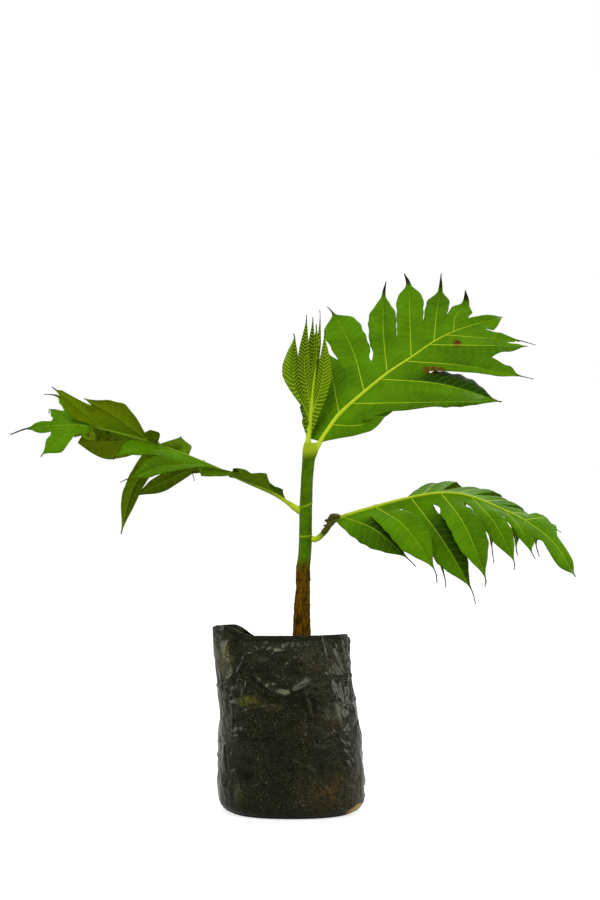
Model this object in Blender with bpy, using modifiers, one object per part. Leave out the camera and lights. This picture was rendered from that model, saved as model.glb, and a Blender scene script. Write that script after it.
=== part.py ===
"""Breadfruit sapling in a black polythene grow bag.

One upright stem carries three deeply lobed leaves and a tuft of young folded lobes.
Lengths are in millimetres here and become metres when a mesh is made. +X is to the plant's right,
+Y is behind it and +Z is up. Heights are taken from a level FOOT_DEPTH above the bag's underside,
and the object's origin is on that underside.
"""
import math
from collections import namedtuple

import bmesh
import bpy
import numpy as np

MM = 0.001
FOOT_DEPTH = 5
CLEARANCE = 0.3

# Grow bag: a 10 by 12 inch polythene bag, filled until it stands round
BAG_WALL = 1.5
BAG_SIDES = 32
BAG_SQUARENESS = 2.3
RIM_HEIGHT = 186
RIM_FLAP_RISE = 11
RIM_BACK_DIP = 9
Ring = namedtuple("Ring", "height centre half_width half_depth")
BAG_RINGS = [
    Ring(-FOOT_DEPTH, 2, 64, 60), Ring(-2, 2, 73, 69), Ring(6, 2, 80, 75), Ring(24, 1.5, 82.5, 76),
    Ring(58, 0.5, 81, 76), Ring(95, -1, 78, 75), Ring(131, -5, 75.5, 69), Ring(163, -8, 75.5, 57),
]
BAG_RIM = Ring(RIM_HEIGHT, -10, 75.5, 46)
SOIL_LEVEL = 163

# Stem: woody and flared at the soil, green above, widest again at the top node
Section = namedtuple("Section", "height across radius")
STEM_SECTIONS = [
    Section(SOIL_LEVEL + CLEARANCE, 12.6, 11.5), Section(172, 12.6, 10.2), Section(200, 13, 9.6),
    Section(220, 13.2, 8.8), Section(236, 14.2, 7.8), Section(262, 14.4, 7.7), Section(274, 16, 7.2),
    Section(290, 17, 7.1), Section(325, 17.3, 7), Section(360, 18.7, 6.6), Section(382, 20.6, 7),
    Section(388, 22.4, 9), Section(391, 22.4, 9.2),
]

# Leaf blades
MIDRIB_STEPS = 30
MIDRIB_END = 0.94
BLADE_THICKNESS = 2
RIB_CLEARANCE = 0.9
SINUS_SHARE = 0.3
TAIL_HALF_WIDTH = 1.1
FULLNESS = 0.75
SEAM_STEPS = 1
SWELL_STEPS = 2
TAPER_STEPS = 3
END_STEPS = 5
END_SINUS_SHARE = 0.2

# A lobe's vein leaves the midrib at the share `at` of its length and ends at `tip`. Its middle stands
# off the straight line by `bow` along the midrib and by `lift` off the upper face. `wide` is the half
# width towards the leaf's base and towards its tip, `cup` raises the margins by that share of the
# half width, and `drip` is the run of the fine point beyond the tip, across and up. `cut` is how far
# out along the veins, as a share, the lobe parts from the next one, and `belly` is where it is widest.
Lobe = namedtuple("Lobe", "at tip wide bow lift cup drip belly cut", defaults=(0, 0, 0, (0, 0), 0.62, 0.3))
Leaf = namedtuple("Leaf", "name midrib radii start left right end_at end_wide end_drip end_out")

UPPER_RIGHT = Leaf(
    name="upper_right_leaf",
    midrib=[(28.8, 0, 393), (31.8, 1, 398), (41, 5, 412), (55, 10, 431), (82, 20, 455), (109, 30, 477),
            (136, 41, 495), (162, 51, 513), (186, 59, 525), (209, 66, 533), (241, 77, 542)],
    radii=(3.2, 2.2, 0.6), start=0.07, end_at=0.83, end_wide=(8, 10), end_drip=0.05,
    end_out=(-0.4, 0.3, 0.9),
    left=[
        Lobe(0.105, (27, 18, 426), (8, 8)),
        Lobe(0.17, (43, 62, 500), (12, 12)),
        Lobe(0.31, (50, 92, 545), (22, 19), bow=4, drip=(-8, 10), belly=0.72),
        Lobe(0.435, (107, 106, 567), (19, 16), bow=-2, drip=(3, 18)),
        Lobe(0.56, (136, 108, 579), (16, 17), drip=(-5, 15), belly=0.7),
        Lobe(0.68, (172, 104, 572), (15, 14), bow=-1, drip=(1, 22), belly=0.68),
        Lobe(0.775, (200, 92, 560), (9, 11), bow=-3, drip=(0, 15), belly=0.7),
    ],
    right=[
        Lobe(0.135, (107, -14, 427), (9, 10), bow=-3, belly=0.7),
        Lobe(0.25, (225, -26, 444), (7, 11), cup=-0.2, drip=(3, -1)),
        Lobe(0.395, (224, -8, 448), (12, 16), bow=7, drip=(2, -2)),
        Lobe(0.53, (250, 2, 473), (8, 13), bow=4, drip=(18, -4)),
        Lobe(0.645, (259, 18, 506), (11, 8), drip=(5, 0)),
        Lobe(0.74, (255, 34, 514), (6, 8), drip=(21, -5)),
    ])

LOWER_RIGHT = Leaf(
    name="lower_right_leaf",
    midrib=[(25.4, 0, 293), (30, -1, 293.5), (38.5, -1, 301), (52, -2, 315), (93, -5, 328.5), (135, -9, 339.5),
            (164, -12, 344), (186, -14, 343), (206, -15, 337.5), (235, -17, 325), (259, -19, 312.5),
            (287, -22, 290), (311, -25, 253)],
    radii=(3, 2, 0.6), start=0.12, end_at=0.79, end_wide=(10, 11), end_drip=0.05,
    end_out=(0.6, 0.5, 0.6),
    left=[
        Lobe(0.17, (114, 48, 284), (12, 12), lift=22, drip=(5, -10)),
        Lobe(0.27, (173, 68, 253), (14, 14), lift=40, drip=(3, -18)),
        Lobe(0.40, (228, 72, 283), (15, 15), lift=45, drip=(3, -20)),
        Lobe(0.51, (255, 64, 282), (14, 14), lift=31, drip=(2, -11)),
        Lobe(0.61, (276, 50, 284), (12, 12), lift=19, drip=(4, -13)),
        Lobe(0.70, (294, 24, 304), (8, 8), lift=6, drip=(8, -5)),
    ],
    right=[
        Lobe(0.155, (124, -45, 277), (17, 13), lift=10, cup=-0.3, drip=(12, -12)),
        Lobe(0.24, (153, -74, 266), (17, 15), bow=5, lift=14, drip=(4, -17)),
        Lobe(0.37, (193, -62, 245), (17, 16), bow=2, lift=10, cup=-0.3, drip=(6, -19)),
        Lobe(0.47, (207, -84, 258), (16, 18), bow=3, lift=14, drip=(0, -12)),
        Lobe(0.565, (240, -60, 273), (13, 14), lift=10, cup=-0.2, drip=(0, -11)),
        Lobe(0.68, (260, -46, 282), (8, 9), lift=6, drip=(5, -9)),
    ])

LEFT = Leaf(
    name="left_leaf",
    midrib=[(8.6, 0, 325.5), (4, -1, 328.5), (-5, -2, 335), (-20, -3, 344), (-50, 1, 357), (-88, 9, 374),
            (-132, 12, 392), (-178, 7, 407), (-231, 0, 418), (-283, -4, 415), (-307, -7, 408)],
    radii=(3, 2, 0.5), start=0.06, end_at=0.84, end_wide=(10, 10), end_drip=0.4,
    end_out=(0, -0.5, -0.9),
    left=[
        Lobe(0.09, (-14, -8, 351), (7, 8)),
        Lobe(0.13, (-34, -13, 366), (9, 9)),
        Lobe(0.19, (-56, -16, 372), (10, 10), cut=0.1),
        Lobe(0.34, (-172, -45, 361), (10, 12), bow=8, drip=(-11, -5)),
        Lobe(0.46, (-187, -36, 385), (6, 13), drip=(-4, -5), cut=0.1),
        Lobe(0.53, (-157, -8, 415), (8, 8), cut=0.25),
        Lobe(0.59, (-222, -14, 446), (20, 10), drip=(-4, 3), belly=0.5),
        Lobe(0.715, (-254, -16, 456), (9, 11), drip=(-5, 4)),
        Lobe(0.79, (-269, -30, 386), (8, 9), drip=(-1, -3)),
    ],
    right=[
        Lobe(0.16, (-44, 16, 364), (9, 9)),
        Lobe(0.255, (-105, 38, 366), (6, 8), lift=14, drip=(0, -12)),
        Lobe(0.365, (-173, 42, 340), (8, 9), drip=(-4, -3)),
        Lobe(0.42, (-124, 36, 402), (8, 9)),
        Lobe(0.49, (-188, 38, 302), (8, 10), bow=8, lift=6, drip=(0, -4)),
        Lobe(0.57, (-236, 34, 399), (16, 9)),
        Lobe(0.745, (-258, 26, 450), (7, 7), drip=(-16, 3)),
        Lobe(0.81, (-266, 18, 436), (7, 7), drip=(-1, -5)),
    ])

YOUNG = Leaf(
    name="young_leaf",
    midrib=[(19.4, 0, 391.4), (19.4, 0, 394), (22, -1, 425), (26, -2, 465), (29, -1, 500), (29, 2, 530)],
    radii=(4.4, 2, 0.5), start=0.24, end_at=0.7, end_wide=(4, 4), end_drip=0.2,
    end_out=(-1, 0.1, 0),
    left=[
        Lobe(0.28, (5, -8, 514), (11, 8), bow=-8, drip=(-2, 4), belly=0.5),
        Lobe(0.42, (18, -9, 532), (9, 4), bow=-5, drip=(0, 7)),
        Lobe(0.57, (25, -5, 532), (4, 2), drip=(0, 5)),
    ],
    right=[
        Lobe(0.3, (38, 4, 515), (8, 5), bow=-3, drip=(0, 8), belly=0.5),
        Lobe(0.52, (35, 8, 538), (5, 2), bow=-2, drip=(-1, 7)),
    ])

LEAVES = [UPPER_RIGHT, LOWER_RIGHT, LEFT, YOUNG]

LEAF_GREEN = (0.045, 0.155, 0.012)
YOUNG_GREEN = (0.16, 0.33, 0.02)
RIB_GREEN = (0.33, 0.48, 0.06)
STEM_GREEN = (0.07, 0.16, 0.02)
BAG_BLACK = (0.012, 0.012, 0.010)
SOIL_BROWN = (0.05, 0.03, 0.018)


def unit(vector):
    """The vector at length one."""
    return np.asarray(vector, float) / np.linalg.norm(vector)


def square_to(vector, axis):
    """The part of a vector that stands square to a unit axis, at length one."""
    return unit(np.asarray(vector, float) - np.dot(vector, axis) * axis)


class Route:
    """A smooth curve through a few points, read by share of its length."""

    STEPS = 24

    def __init__(self, points):
        points = np.array(points, float)
        ends = np.vstack([2 * points[0] - points[1], points, 2 * points[-1] - points[-2]])
        dense = []
        for a, b, c, d in zip(ends, ends[1:], ends[2:], ends[3:]):
            for t in np.linspace(0, 1, self.STEPS, endpoint=False):
                bend = (2 * a - 5 * b + 4 * c - d) * t ** 2 + (3 * b - a - 3 * c + d) * t ** 3
                dense.append(b + 0.5 * ((c - a) * t + bend))
        self.dense = np.array(dense + [points[-1]])
        steps = np.linalg.norm(np.diff(self.dense, axis=0), axis=1)
        self.shares = np.concatenate([[0], np.cumsum(steps)]) / steps.sum()

    def at(self, share):
        """The point at a share of the length."""
        return np.array([np.interp(share, self.shares, self.dense[:, k]) for k in range(3)])

    def heading(self, share):
        """The unit direction of travel at a share of the length."""
        return unit(self.at(min(share + 0.01, 1)) - self.at(max(share - 0.01, 0)))

    def share_of(self, place):
        """The share of the length at which the curve passes closest to a place."""
        return self.shares[np.argmin(np.linalg.norm(self.dense - place, axis=1))]


def rib_radius(leaf, share):
    """The midrib's radius, from the stalk's foot past the blade's base to the tip."""
    return np.interp(share, (0, leaf.start, 1), leaf.radii)


class HalfBlade:
    """One side of a leaf's blade, as strips between each vein and the margins beside it."""

    def __init__(self, leaf, side):
        self.leaf = leaf
        self.side = side
        self.lobes = leaf.left if side > 0 else leaf.right
        self.midrib = Route(leaf.midrib)
        self.stations = [lobe.at for lobe in self.lobes] + [(1 + leaf.end_at) / 2]
        self.outward = [square_to(lobe.tip - self.midrib.at(lobe.at), self.midrib.heading(lobe.at))
                        for lobe in self.lobes]
        self.outward.append(unit(leaf.end_out) * side)
        self.vertices = []
        self.faces = []

    def out_from_rib(self, share):
        """The direction in which the blade leaves the midrib at a share of its length."""
        mixed = [np.interp(share, self.stations, [way[k] for way in self.outward]) for k in range(3)]
        return square_to(mixed, self.midrib.heading(share))

    def edge(self, share):
        """The blade's edge beside the midrib."""
        reach = rib_radius(self.leaf, share) + RIB_CLEARANCE
        return self.midrib.at(share) + self.out_from_rib(share) * reach

    def vein(self, lobe):
        """A lobe's vein with its fine point, and the share at which the point begins."""
        root = self.edge(lobe.at)
        tip = np.array(lobe.tip, float)
        chord = tip - root
        along = square_to(self.midrib.heading(lobe.at), unit(chord))
        upper = unit(np.cross(self.midrib.heading(lobe.at), chord)) * self.side
        middle = root + chord / 2 + along * lobe.bow + upper * lobe.lift
        across, rise = lobe.drip
        if not (across or rise):
            return Route([root, middle, tip]), 1.0
        end = tip + np.array([across, chord[1] * 0.03, rise])
        route = Route([root, middle, tip, end])
        return route, route.share_of(tip)

    def margin(self, lobe, vein, tip_share, sinus, towards_tip):
        """The free margin of one side of a lobe, as pairs of vein and margin points."""
        belly = lobe.belly * tip_share
        shares = list(np.linspace(SINUS_SHARE, belly, SWELL_STEPS + 1)[1:])
        shares += list(np.linspace(belly, tip_share, TAPER_STEPS + 1)[1:])
        if tip_share < 1:
            shares.append(1.0)
        if sinus is None:
            cut, first = 0, np.zeros(3)
            shares.insert(0, SINUS_SHARE)
        else:
            cut, first = SINUS_SHARE, sinus - vein.at(SINUS_SHARE)
        width = lobe.wide[1] if towards_tip else lobe.wide[0]
        heading = self.midrib.heading(lobe.at) * (1 if towards_tip else -1)
        pairs = []
        for share in shares:
            centre = vein.at(share)
            across = square_to(heading, vein.heading(share))
            upper = np.cross(across, vein.heading(share)) * self.side * (1 if towards_tip else -1)
            full = across * width + upper * lobe.cup * width
            if share <= belly:
                swell = math.sin(math.pi / 2 * (share - cut) / (belly - cut))
                offset = first * (1 - swell) + full * swell
            elif share <= tip_share:
                fall = (0.5 + 0.5 * math.cos(math.pi * (share - belly) / (tip_share - belly))) ** FULLNESS
                tail = TAIL_HALF_WIDTH if tip_share < 1 else 0
                offset = full * fall + across * tail * (1 - fall)
            else:
                offset = across * 0
            pairs.append((centre, centre + offset))
        return pairs

    def strip(self, pairs, flip):
        """Add the quads between two lines of points."""
        first = len(self.vertices)
        for inner, outer in pairs:
            self.vertices += [inner, outer]
        for row in range(len(pairs) - 1):
            corner = first + 2 * row
            face = (corner, corner + 1, corner + 3, corner + 2)
            self.faces.append(face[::-1] if flip else face)

    def lobe_side(self, lobe, seam, towards_tip):
        """Add one side of a lobe: along the seam it shares with its neighbour, then its free margin."""
        vein, tip_share = self.vein(lobe)
        pairs = []
        sinus = None
        if seam is None:
            pairs.append((vein.at(0), self.edge(self.leaf.start)))
        else:
            foot, sinus = seam
            for step in range(SEAM_STEPS + 1):
                share = step / SEAM_STEPS
                pairs.append((vein.at(share * SINUS_SHARE), foot + (sinus - foot) * share))
        pairs += self.margin(lobe, vein, tip_share, sinus, towards_tip)
        self.strip(pairs, flip=(self.side > 0) != towards_tip)

    def end_side(self, seam):
        """Add this side's half of the lobe at the end of the midrib."""
        start = self.leaf.end_at
        width = self.leaf.end_wide[0 if self.side > 0 else 1]
        foot, sinus = seam
        pairs = [(self.edge(start), foot), (self.edge(start + END_SINUS_SHARE * (1 - start)), sinus)]
        blade_end = 1 - self.leaf.end_drip
        for step in range(1, END_STEPS + 1):
            share = END_SINUS_SHARE + (1 - END_SINUS_SHARE) * step / END_STEPS
            along = start + share * (1 - start)
            centre = self.edge(along)
            done = min((share - END_SINUS_SHARE) / (blade_end - END_SINUS_SHARE), 1)
            swell = max(math.cos(math.pi / 2 * done ** 2), 0.08)
            pairs.append((centre, centre + self.out_from_rib(along) * width * swell))
        self.strip(pairs, flip=self.side > 0)

    def build(self):
        """Vertices and faces of this half, from the leaf's base to its tip."""
        start = self.leaf.end_at
        seams = []
        for lobe, after in zip(self.lobes, self.lobes[1:]):
            foot = self.edge((lobe.at + after.at) / 2)
            sinus = (self.vein(lobe)[0].at(lobe.cut) + self.vein(after)[0].at(lobe.cut)) / 2
            seams.append((foot, sinus))
        last = self.lobes[-1]
        foot = self.edge((last.at + start) / 2)
        beside = self.edge(start + END_SINUS_SHARE * (1 - start))
        seams.append((foot, (self.vein(last)[0].at(last.cut) + beside) / 2))
        for lobe, before, after in zip(self.lobes, [None] + seams, seams):
            self.lobe_side(lobe, before, towards_tip=False)
            self.lobe_side(lobe, after, towards_tip=True)
        self.end_side(seams[-1])
        return self.vertices, self.faces


def metres(point):
    """A point of the drawing as world coordinates."""
    return point[0] * MM, point[1] * MM, (point[2] + FOOT_DEPTH) * MM


def material(name, colour, roughness):
    """A plain Principled material."""
    made = bpy.data.materials.new(name)
    made.use_nodes = True
    shader = made.node_tree.nodes["Principled BSDF"]
    shader.inputs["Base Color"].default_value = (*colour, 1)
    shader.inputs["Roughness"].default_value = roughness
    shader.inputs["Metallic"].default_value = 0
    return made


def mesh_object(name, vertices, faces, finish):
    """An object of faces given in millimetres, with points that coincide joined."""
    mesh = bpy.data.meshes.new(name)
    mesh.from_pydata([metres(point) for point in vertices], [], faces)
    work = bmesh.new()
    work.from_mesh(mesh)
    bmesh.ops.remove_doubles(work, verts=work.verts, dist=0.00002)
    bmesh.ops.dissolve_degenerate(work, edges=work.edges, dist=0.00001)
    work.to_mesh(mesh)
    work.free()
    mesh.materials.append(finish)
    made = bpy.data.objects.new(name, mesh)
    plant.objects.link(made)
    return made


def thicken(target, thickness, offset):
    """Give an open surface its thickness."""
    shell = target.modifiers.new("thickness", "SOLIDIFY")
    shell.thickness = thickness * MM
    shell.offset = offset


def limb(name, points, radii, finish, sides=2):
    """A tapering round limb along a line of points."""
    curve = bpy.data.curves.new(name, "CURVE")
    curve.dimensions = "3D"
    curve.bevel_depth = MM
    curve.bevel_resolution = sides
    curve.use_fill_caps = True
    line = curve.splines.new("POLY")
    line.points.add(len(points) - 1)
    for target, place, radius in zip(line.points, points, radii):
        target.co = (*metres(place), 1)
        target.radius = radius
    curve.materials.append(finish)
    made = bpy.data.objects.new(name, curve)
    plant.objects.link(made)
    return made


def make_midrib(leaf, finish):
    """The leaf stalk and midrib, one limb that tapers to the leaf's tip."""
    route = Route(leaf.midrib)
    shares = [MIDRIB_END * step / MIDRIB_STEPS for step in range(MIDRIB_STEPS + 1)]
    radii = [rib_radius(leaf, share) for share in shares]
    limb(leaf.name + "_midrib", [route.at(share) for share in shares], radii, finish, sides=1)


def make_leaf(leaf, blade_finish, rib_finish):
    """A leaf: its midrib and the two halves of its blade."""
    make_midrib(leaf, rib_finish)
    for side, label in ((1, "_left_half"), (-1, "_right_half")):
        vertices, faces = HalfBlade(leaf, side).build()
        half = mesh_object(leaf.name + label, vertices, faces, blade_finish)
        thicken(half, BLADE_THICKNESS, 0)


def rim_height(angle):
    """The uneven rim: a flap that stands up at the back left and a dip behind the stem."""
    flap = RIM_FLAP_RISE * math.exp(-((angle - math.radians(160)) / math.radians(38)) ** 2)
    dip = RIM_BACK_DIP * math.exp(-((angle - math.radians(80)) / math.radians(34)) ** 2)
    return flap - dip


def bag_ring(ring, inset=0, uneven=False):
    """Points round the bag at one height."""
    points = []
    for side in range(BAG_SIDES):
        angle = 2 * math.pi * side / BAG_SIDES
        power = 2 / BAG_SQUARENESS
        across = math.copysign(abs(math.cos(angle)) ** power, math.cos(angle))
        back = math.copysign(abs(math.sin(angle)) ** power, math.sin(angle))
        height = ring.height + (rim_height(angle) if uneven else 0)
        points.append((ring.centre + across * (ring.half_width - inset),
                       back * (ring.half_depth - inset), height))
    return points


def loft(rings):
    """Vertices and faces of a skin through rings of equal count, closed by a flat foot."""
    vertices = [point for ring in rings for point in ring]
    faces = [tuple(range(BAG_SIDES))[::-1]]
    for level in range(len(rings) - 1):
        for side in range(BAG_SIDES):
            low = level * BAG_SIDES + side
            low_next = level * BAG_SIDES + (side + 1) % BAG_SIDES
            faces.append((low, low_next, low_next + BAG_SIDES, low + BAG_SIDES))
    return vertices, faces


def make_bag(finish):
    """The open bag, a thin skin with a flat foot and an uneven rim."""
    rings = [bag_ring(ring) for ring in BAG_RINGS] + [bag_ring(BAG_RIM, uneven=True)]
    vertices, faces = loft(rings)
    bag = mesh_object("grow_bag", vertices, faces, finish)
    thicken(bag, BAG_WALL, -1)


def make_soil(finish):
    """The potting soil that fills the bag to just below its rim."""
    inset = BAG_WALL + CLEARANCE + 0.4
    rings = [bag_ring(ring, inset) for ring in BAG_RINGS]
    rings[0] = [(x, y, z + inset) for x, y, z in rings[0]]
    rings[1] = [(x, y, z + inset / 2) for x, y, z in rings[1]]
    vertices, faces = loft(rings)
    top = len(vertices) - BAG_SIDES
    faces.append(tuple(range(top, top + BAG_SIDES)))
    mesh_object("potting_soil", vertices, faces, finish)


def make_stem(finish):
    """The stem, from its flat cut at the soil to the top node."""
    points = [(cut.across, 0, cut.height) for cut in STEM_SECTIONS]
    limb("stem", points, [cut.radius for cut in STEM_SECTIONS], finish, sides=4)


for old in list(bpy.data.objects):
    bpy.data.objects.remove(old, do_unlink=True)
plant = bpy.data.collections.new("breadfruit_sapling")
bpy.context.scene.collection.children.link(plant)

make_bag(material("black polythene", BAG_BLACK, 0.35))
make_soil(material("moist potting soil", SOIL_BROWN, 0.95))
make_stem(material("green and woody stem", STEM_GREEN, 0.6))
rib_finish = material("pale midrib", RIB_GREEN, 0.45)
for leaf in LEAVES:
    tint = YOUNG_GREEN if leaf is YOUNG else LEAF_GREEN
    make_leaf(leaf, material(leaf.name + " blade", tint, 0.4), rib_finish)
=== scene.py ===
"""Finished look of a breadfruit sapling in a black polythene grow bag.

Lengths in the tables are millimetres, and heights there are taken from a level FOOT_DEPTH above the
bag's underside. +X is the plant's right, +Y is behind it and +Z is up.
"""
import math
from collections import namedtuple
from functools import partial

import bpy
import numpy as np
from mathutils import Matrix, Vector, noise


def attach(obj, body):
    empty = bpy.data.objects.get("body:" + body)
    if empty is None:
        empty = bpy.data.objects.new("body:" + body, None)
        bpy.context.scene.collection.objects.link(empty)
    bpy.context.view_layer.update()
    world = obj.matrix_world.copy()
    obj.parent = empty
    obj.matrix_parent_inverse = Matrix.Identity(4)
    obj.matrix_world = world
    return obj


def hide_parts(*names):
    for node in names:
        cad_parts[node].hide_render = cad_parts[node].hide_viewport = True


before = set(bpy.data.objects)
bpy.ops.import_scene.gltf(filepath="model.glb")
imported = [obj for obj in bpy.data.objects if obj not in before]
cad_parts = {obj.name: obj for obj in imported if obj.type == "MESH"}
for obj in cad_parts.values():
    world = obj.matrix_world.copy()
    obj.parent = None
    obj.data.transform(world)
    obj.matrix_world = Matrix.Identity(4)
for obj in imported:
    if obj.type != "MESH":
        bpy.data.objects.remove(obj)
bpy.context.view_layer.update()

bl_info = {
    "name": "Breadfruit Sapling",
    "version": (1, 0, 0),
    "blender": (4, 5, 0),
    "location": "3D Viewport > Sidebar > Sapling",
    "description": "Leaves, stem, grow bag and soil of a young breadfruit plant",
    "category": "Add Mesh",
}

MM = 0.001
FOOT_DEPTH = 5
VEIN_MAP_UNIT = 0.01  # a millimetre in the vein map


# ---------------------------------------------------------------- colours and materials

def linear(code):
    """An sRGB hex value as linear RGBA."""
    parts = [int(code[k:k + 2], 16) / 255 for k in (1, 3, 5)]
    return (*[p / 12.92 if p <= 0.04045 else ((p + 0.055) / 1.055) ** 2.4 for p in parts], 1.0)


def deeper(colour, share):
    """A linear colour dimmed to a share of its light."""
    return (*[part * share for part in colour[:3]], 1.0)


def fill(made, inputs):
    """Fill a node's inputs. A node or socket that is given as a value is linked."""
    for key, value in dict(inputs).items():
        if isinstance(value, bpy.types.Node):
            value = next(output for output in value.outputs if output.enabled)
        if isinstance(value, bpy.types.NodeSocket):
            made.id_data.links.new(value, made.inputs[key])
        else:
            made.inputs[key].default_value = value


def node(tree, kind, inputs=(), **settings):
    """Add a node, make its settings, and fill or link its inputs."""
    made = tree.nodes.new("ShaderNode" + kind)
    for name, value in settings.items():
        setattr(made, name, value)
    fill(made, inputs)
    return made


def new_material(name):
    """An empty material, its Principled shader and a function that adds a node to it."""
    made = bpy.data.materials.new(name)
    made.use_nodes = True
    return made, made.node_tree.nodes["Principled BSDF"], partial(node, made.node_tree)


def tone_and_place(add):
    """The four shares that the tone attribute deals out, and the place on the object."""
    tone = add("Attribute", attribute_name="tone")
    parts = add("SeparateColor", {0: tone}).outputs
    return (*parts, tone.outputs["Alpha"]), add("TexCoord").outputs["Object"]


def blade_material(name, colours, roughness, net_contrast, style, net_lift):
    """Leaf blade: a waxy skin over green tissue, with side veins drawn from the vein map.

    The vein map holds lengths along and across each lobe, so the side veins keep their true spacing.
    """
    fresh, dark_green_and_shade, olive, net, dry = colours
    made, shader, add = new_material(name)
    # the olive share paints the underside's olive with light shining through the blade: partly the
    # underside's own colour, partly painted light
    (painted_shade, underside_and_backlit_olive, dried, blemish_and_shadow), place = tone_and_place(add)
    # cloudy change of green every few centimetres, as a leaf has between sunned and shaded tissue
    cloud = add("TexNoise", {"Vector": place, "Scale": 1 / (28 * MM), "Detail": 3})
    clouded = add("MapRange", {0: cloud, 1: 0.35, 2: 0.7, 4: 0.4})
    # side veins: thin pale lines, vein_gap apart, that lean towards the lobe's tip
    along, across, _ = add("SeparateXYZ", {0: add("UVMap", uv_map="veins")}).outputs
    lean = add("Math", {0: across, 1: -style.slant, 2: along}, operation="MULTIPLY_ADD")
    count = add("Math", {0: lean, 1: 1 / (style.vein_gap * VEIN_MAP_UNIT)}, operation="MULTIPLY")
    wander = add("TexNoise", {"Vector": place, "Scale": 1 / (12 * MM), "Detail": 1})
    shifted = add("Math", {0: wander, 1: 0.5, 2: count}, operation="MULTIPLY_ADD")
    saw = add("Math", {0: shifted, 1: 0.5}, operation="PINGPONG")
    line = add("MapRange", {0: saw, 2: style.line_width / style.vein_gap, 3: net_contrast, 4: 0},
               interpolation_type="SMOOTHSTEP")
    # the finest net of veins, drawn at 2 mm so that it shows
    cells = add("TexVoronoi", {"Vector": place, "Scale": 1 / (2 * MM)}, feature="DISTANCE_TO_EDGE")
    net_line = add("MapRange", {0: cells, 2: 0.12, 3: net_contrast * 0.25, 4: 0})
    lines = add("Math", {0: line, 1: net_line}, operation="MAXIMUM")
    body = fresh
    # painted shade: the shade share lays dark green where a lobe lies in another's shadow and where it turns
    # from the light
    for cover, colour in ((clouded, dark_green_and_shade), (underside_and_backlit_olive, olive), (painted_shade, dark_green_and_shade), (lines, net), (dried, dry),
                          # the last colour paints the brown spots: blemishes, and painted shadow on the left
                          # leaf
                          (blemish_and_shadow, linear("#54320c"))):
        body = add("Mix", {0: cover, 6: body, 7: colour}, data_type="RGBA")
    rough = add("MapRange", {0: cloud, 1: 0.3, 2: 0.7, 3: roughness - 0.06, 4: roughness + 0.08})
    grain = add("Math", {0: cells, 1: net_lift, 2: saw}, operation="MULTIPLY_ADD")
    bump = add("Bump", {"Height": grain, "Strength": 0.35, "Distance": 0.4 * MM})
    fill(shader, {"Base Color": body, "Roughness": rough, "Normal": bump, "IOR": 1.4,
                  "Specular IOR Level": 0.04})
    return made


def rib_material(name, colours, roughness):
    """Veins and stalks: smooth juicy tissue, palest at the foot and greener towards the tip."""
    foot, tip, scar = colours
    made, shader, add = new_material(name)
    (green, _, scarred, _), place = tone_and_place(add)
    streak = add("TexNoise", {"Vector": place, "Scale": 1 / (4 * MM), "Detail": 2})
    streaked = add("MapRange", {0: streak, 1: 0.4, 2: 0.75, 4: 0.25})
    greened = add("Math", {0: green, 1: streaked}, operation="ADD", use_clamp=True)
    body = foot
    for cover, colour in ((greened, tip), (scarred, scar)):
        body = add("Mix", {0: cover, 6: body, 7: colour}, data_type="RGBA")
    bump = add("Bump", {"Height": streak, "Strength": 0.2, "Distance": 0.3 * MM})
    fill(shader, {"Base Color": body, "Roughness": roughness, "Normal": bump, "IOR": 1.45,
                  "Specular IOR Level": 0.15})
    return made


def stem_material(green, bark, ring):
    """Stem skin: smooth green above, cracked brown bark at the foot, pale rings at the nodes."""
    dark_bark = deeper(bark, 0.15)
    made, shader, add = new_material("green and woody stem skin")
    (woody, ringed, scarred, _), place = tone_and_place(add)
    upright = add("Mapping", {"Vector": place, "Scale": (1, 1, 0.25)})
    fibre = add("TexNoise", {"Vector": upright, "Scale": 1 / (3 * MM), "Detail": 4})
    cracked = add("MapRange", {0: fibre, 1: 0.35, 2: 0.65})
    wood = add("Mix", {0: cracked, 6: dark_bark, 7: bark}, data_type="RGBA")
    patch = add("TexNoise", {"Vector": place, "Scale": 1 / (9 * MM), "Detail": 3})
    patched = add("MapRange", {0: patch, 1: 0.4, 2: 0.7, 4: 0.7})
    body = green
    for cover, colour in ((patched, deeper(green, 0.5)), (woody, wood), (scarred, dark_bark), (ringed, ring)):
        body = add("Mix", {0: cover, 6: body, 7: colour}, data_type="RGBA")
    rough = add("MapRange", {0: woody, 3: 0.45, 4: 0.85})
    bump = add("Bump", {"Height": fibre, "Strength": 0.5, "Distance": 0.5 * MM})
    fill(shader, {"Base Color": body, "Roughness": rough, "Normal": bump, "Specular IOR Level": 0.05})
    return made


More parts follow.
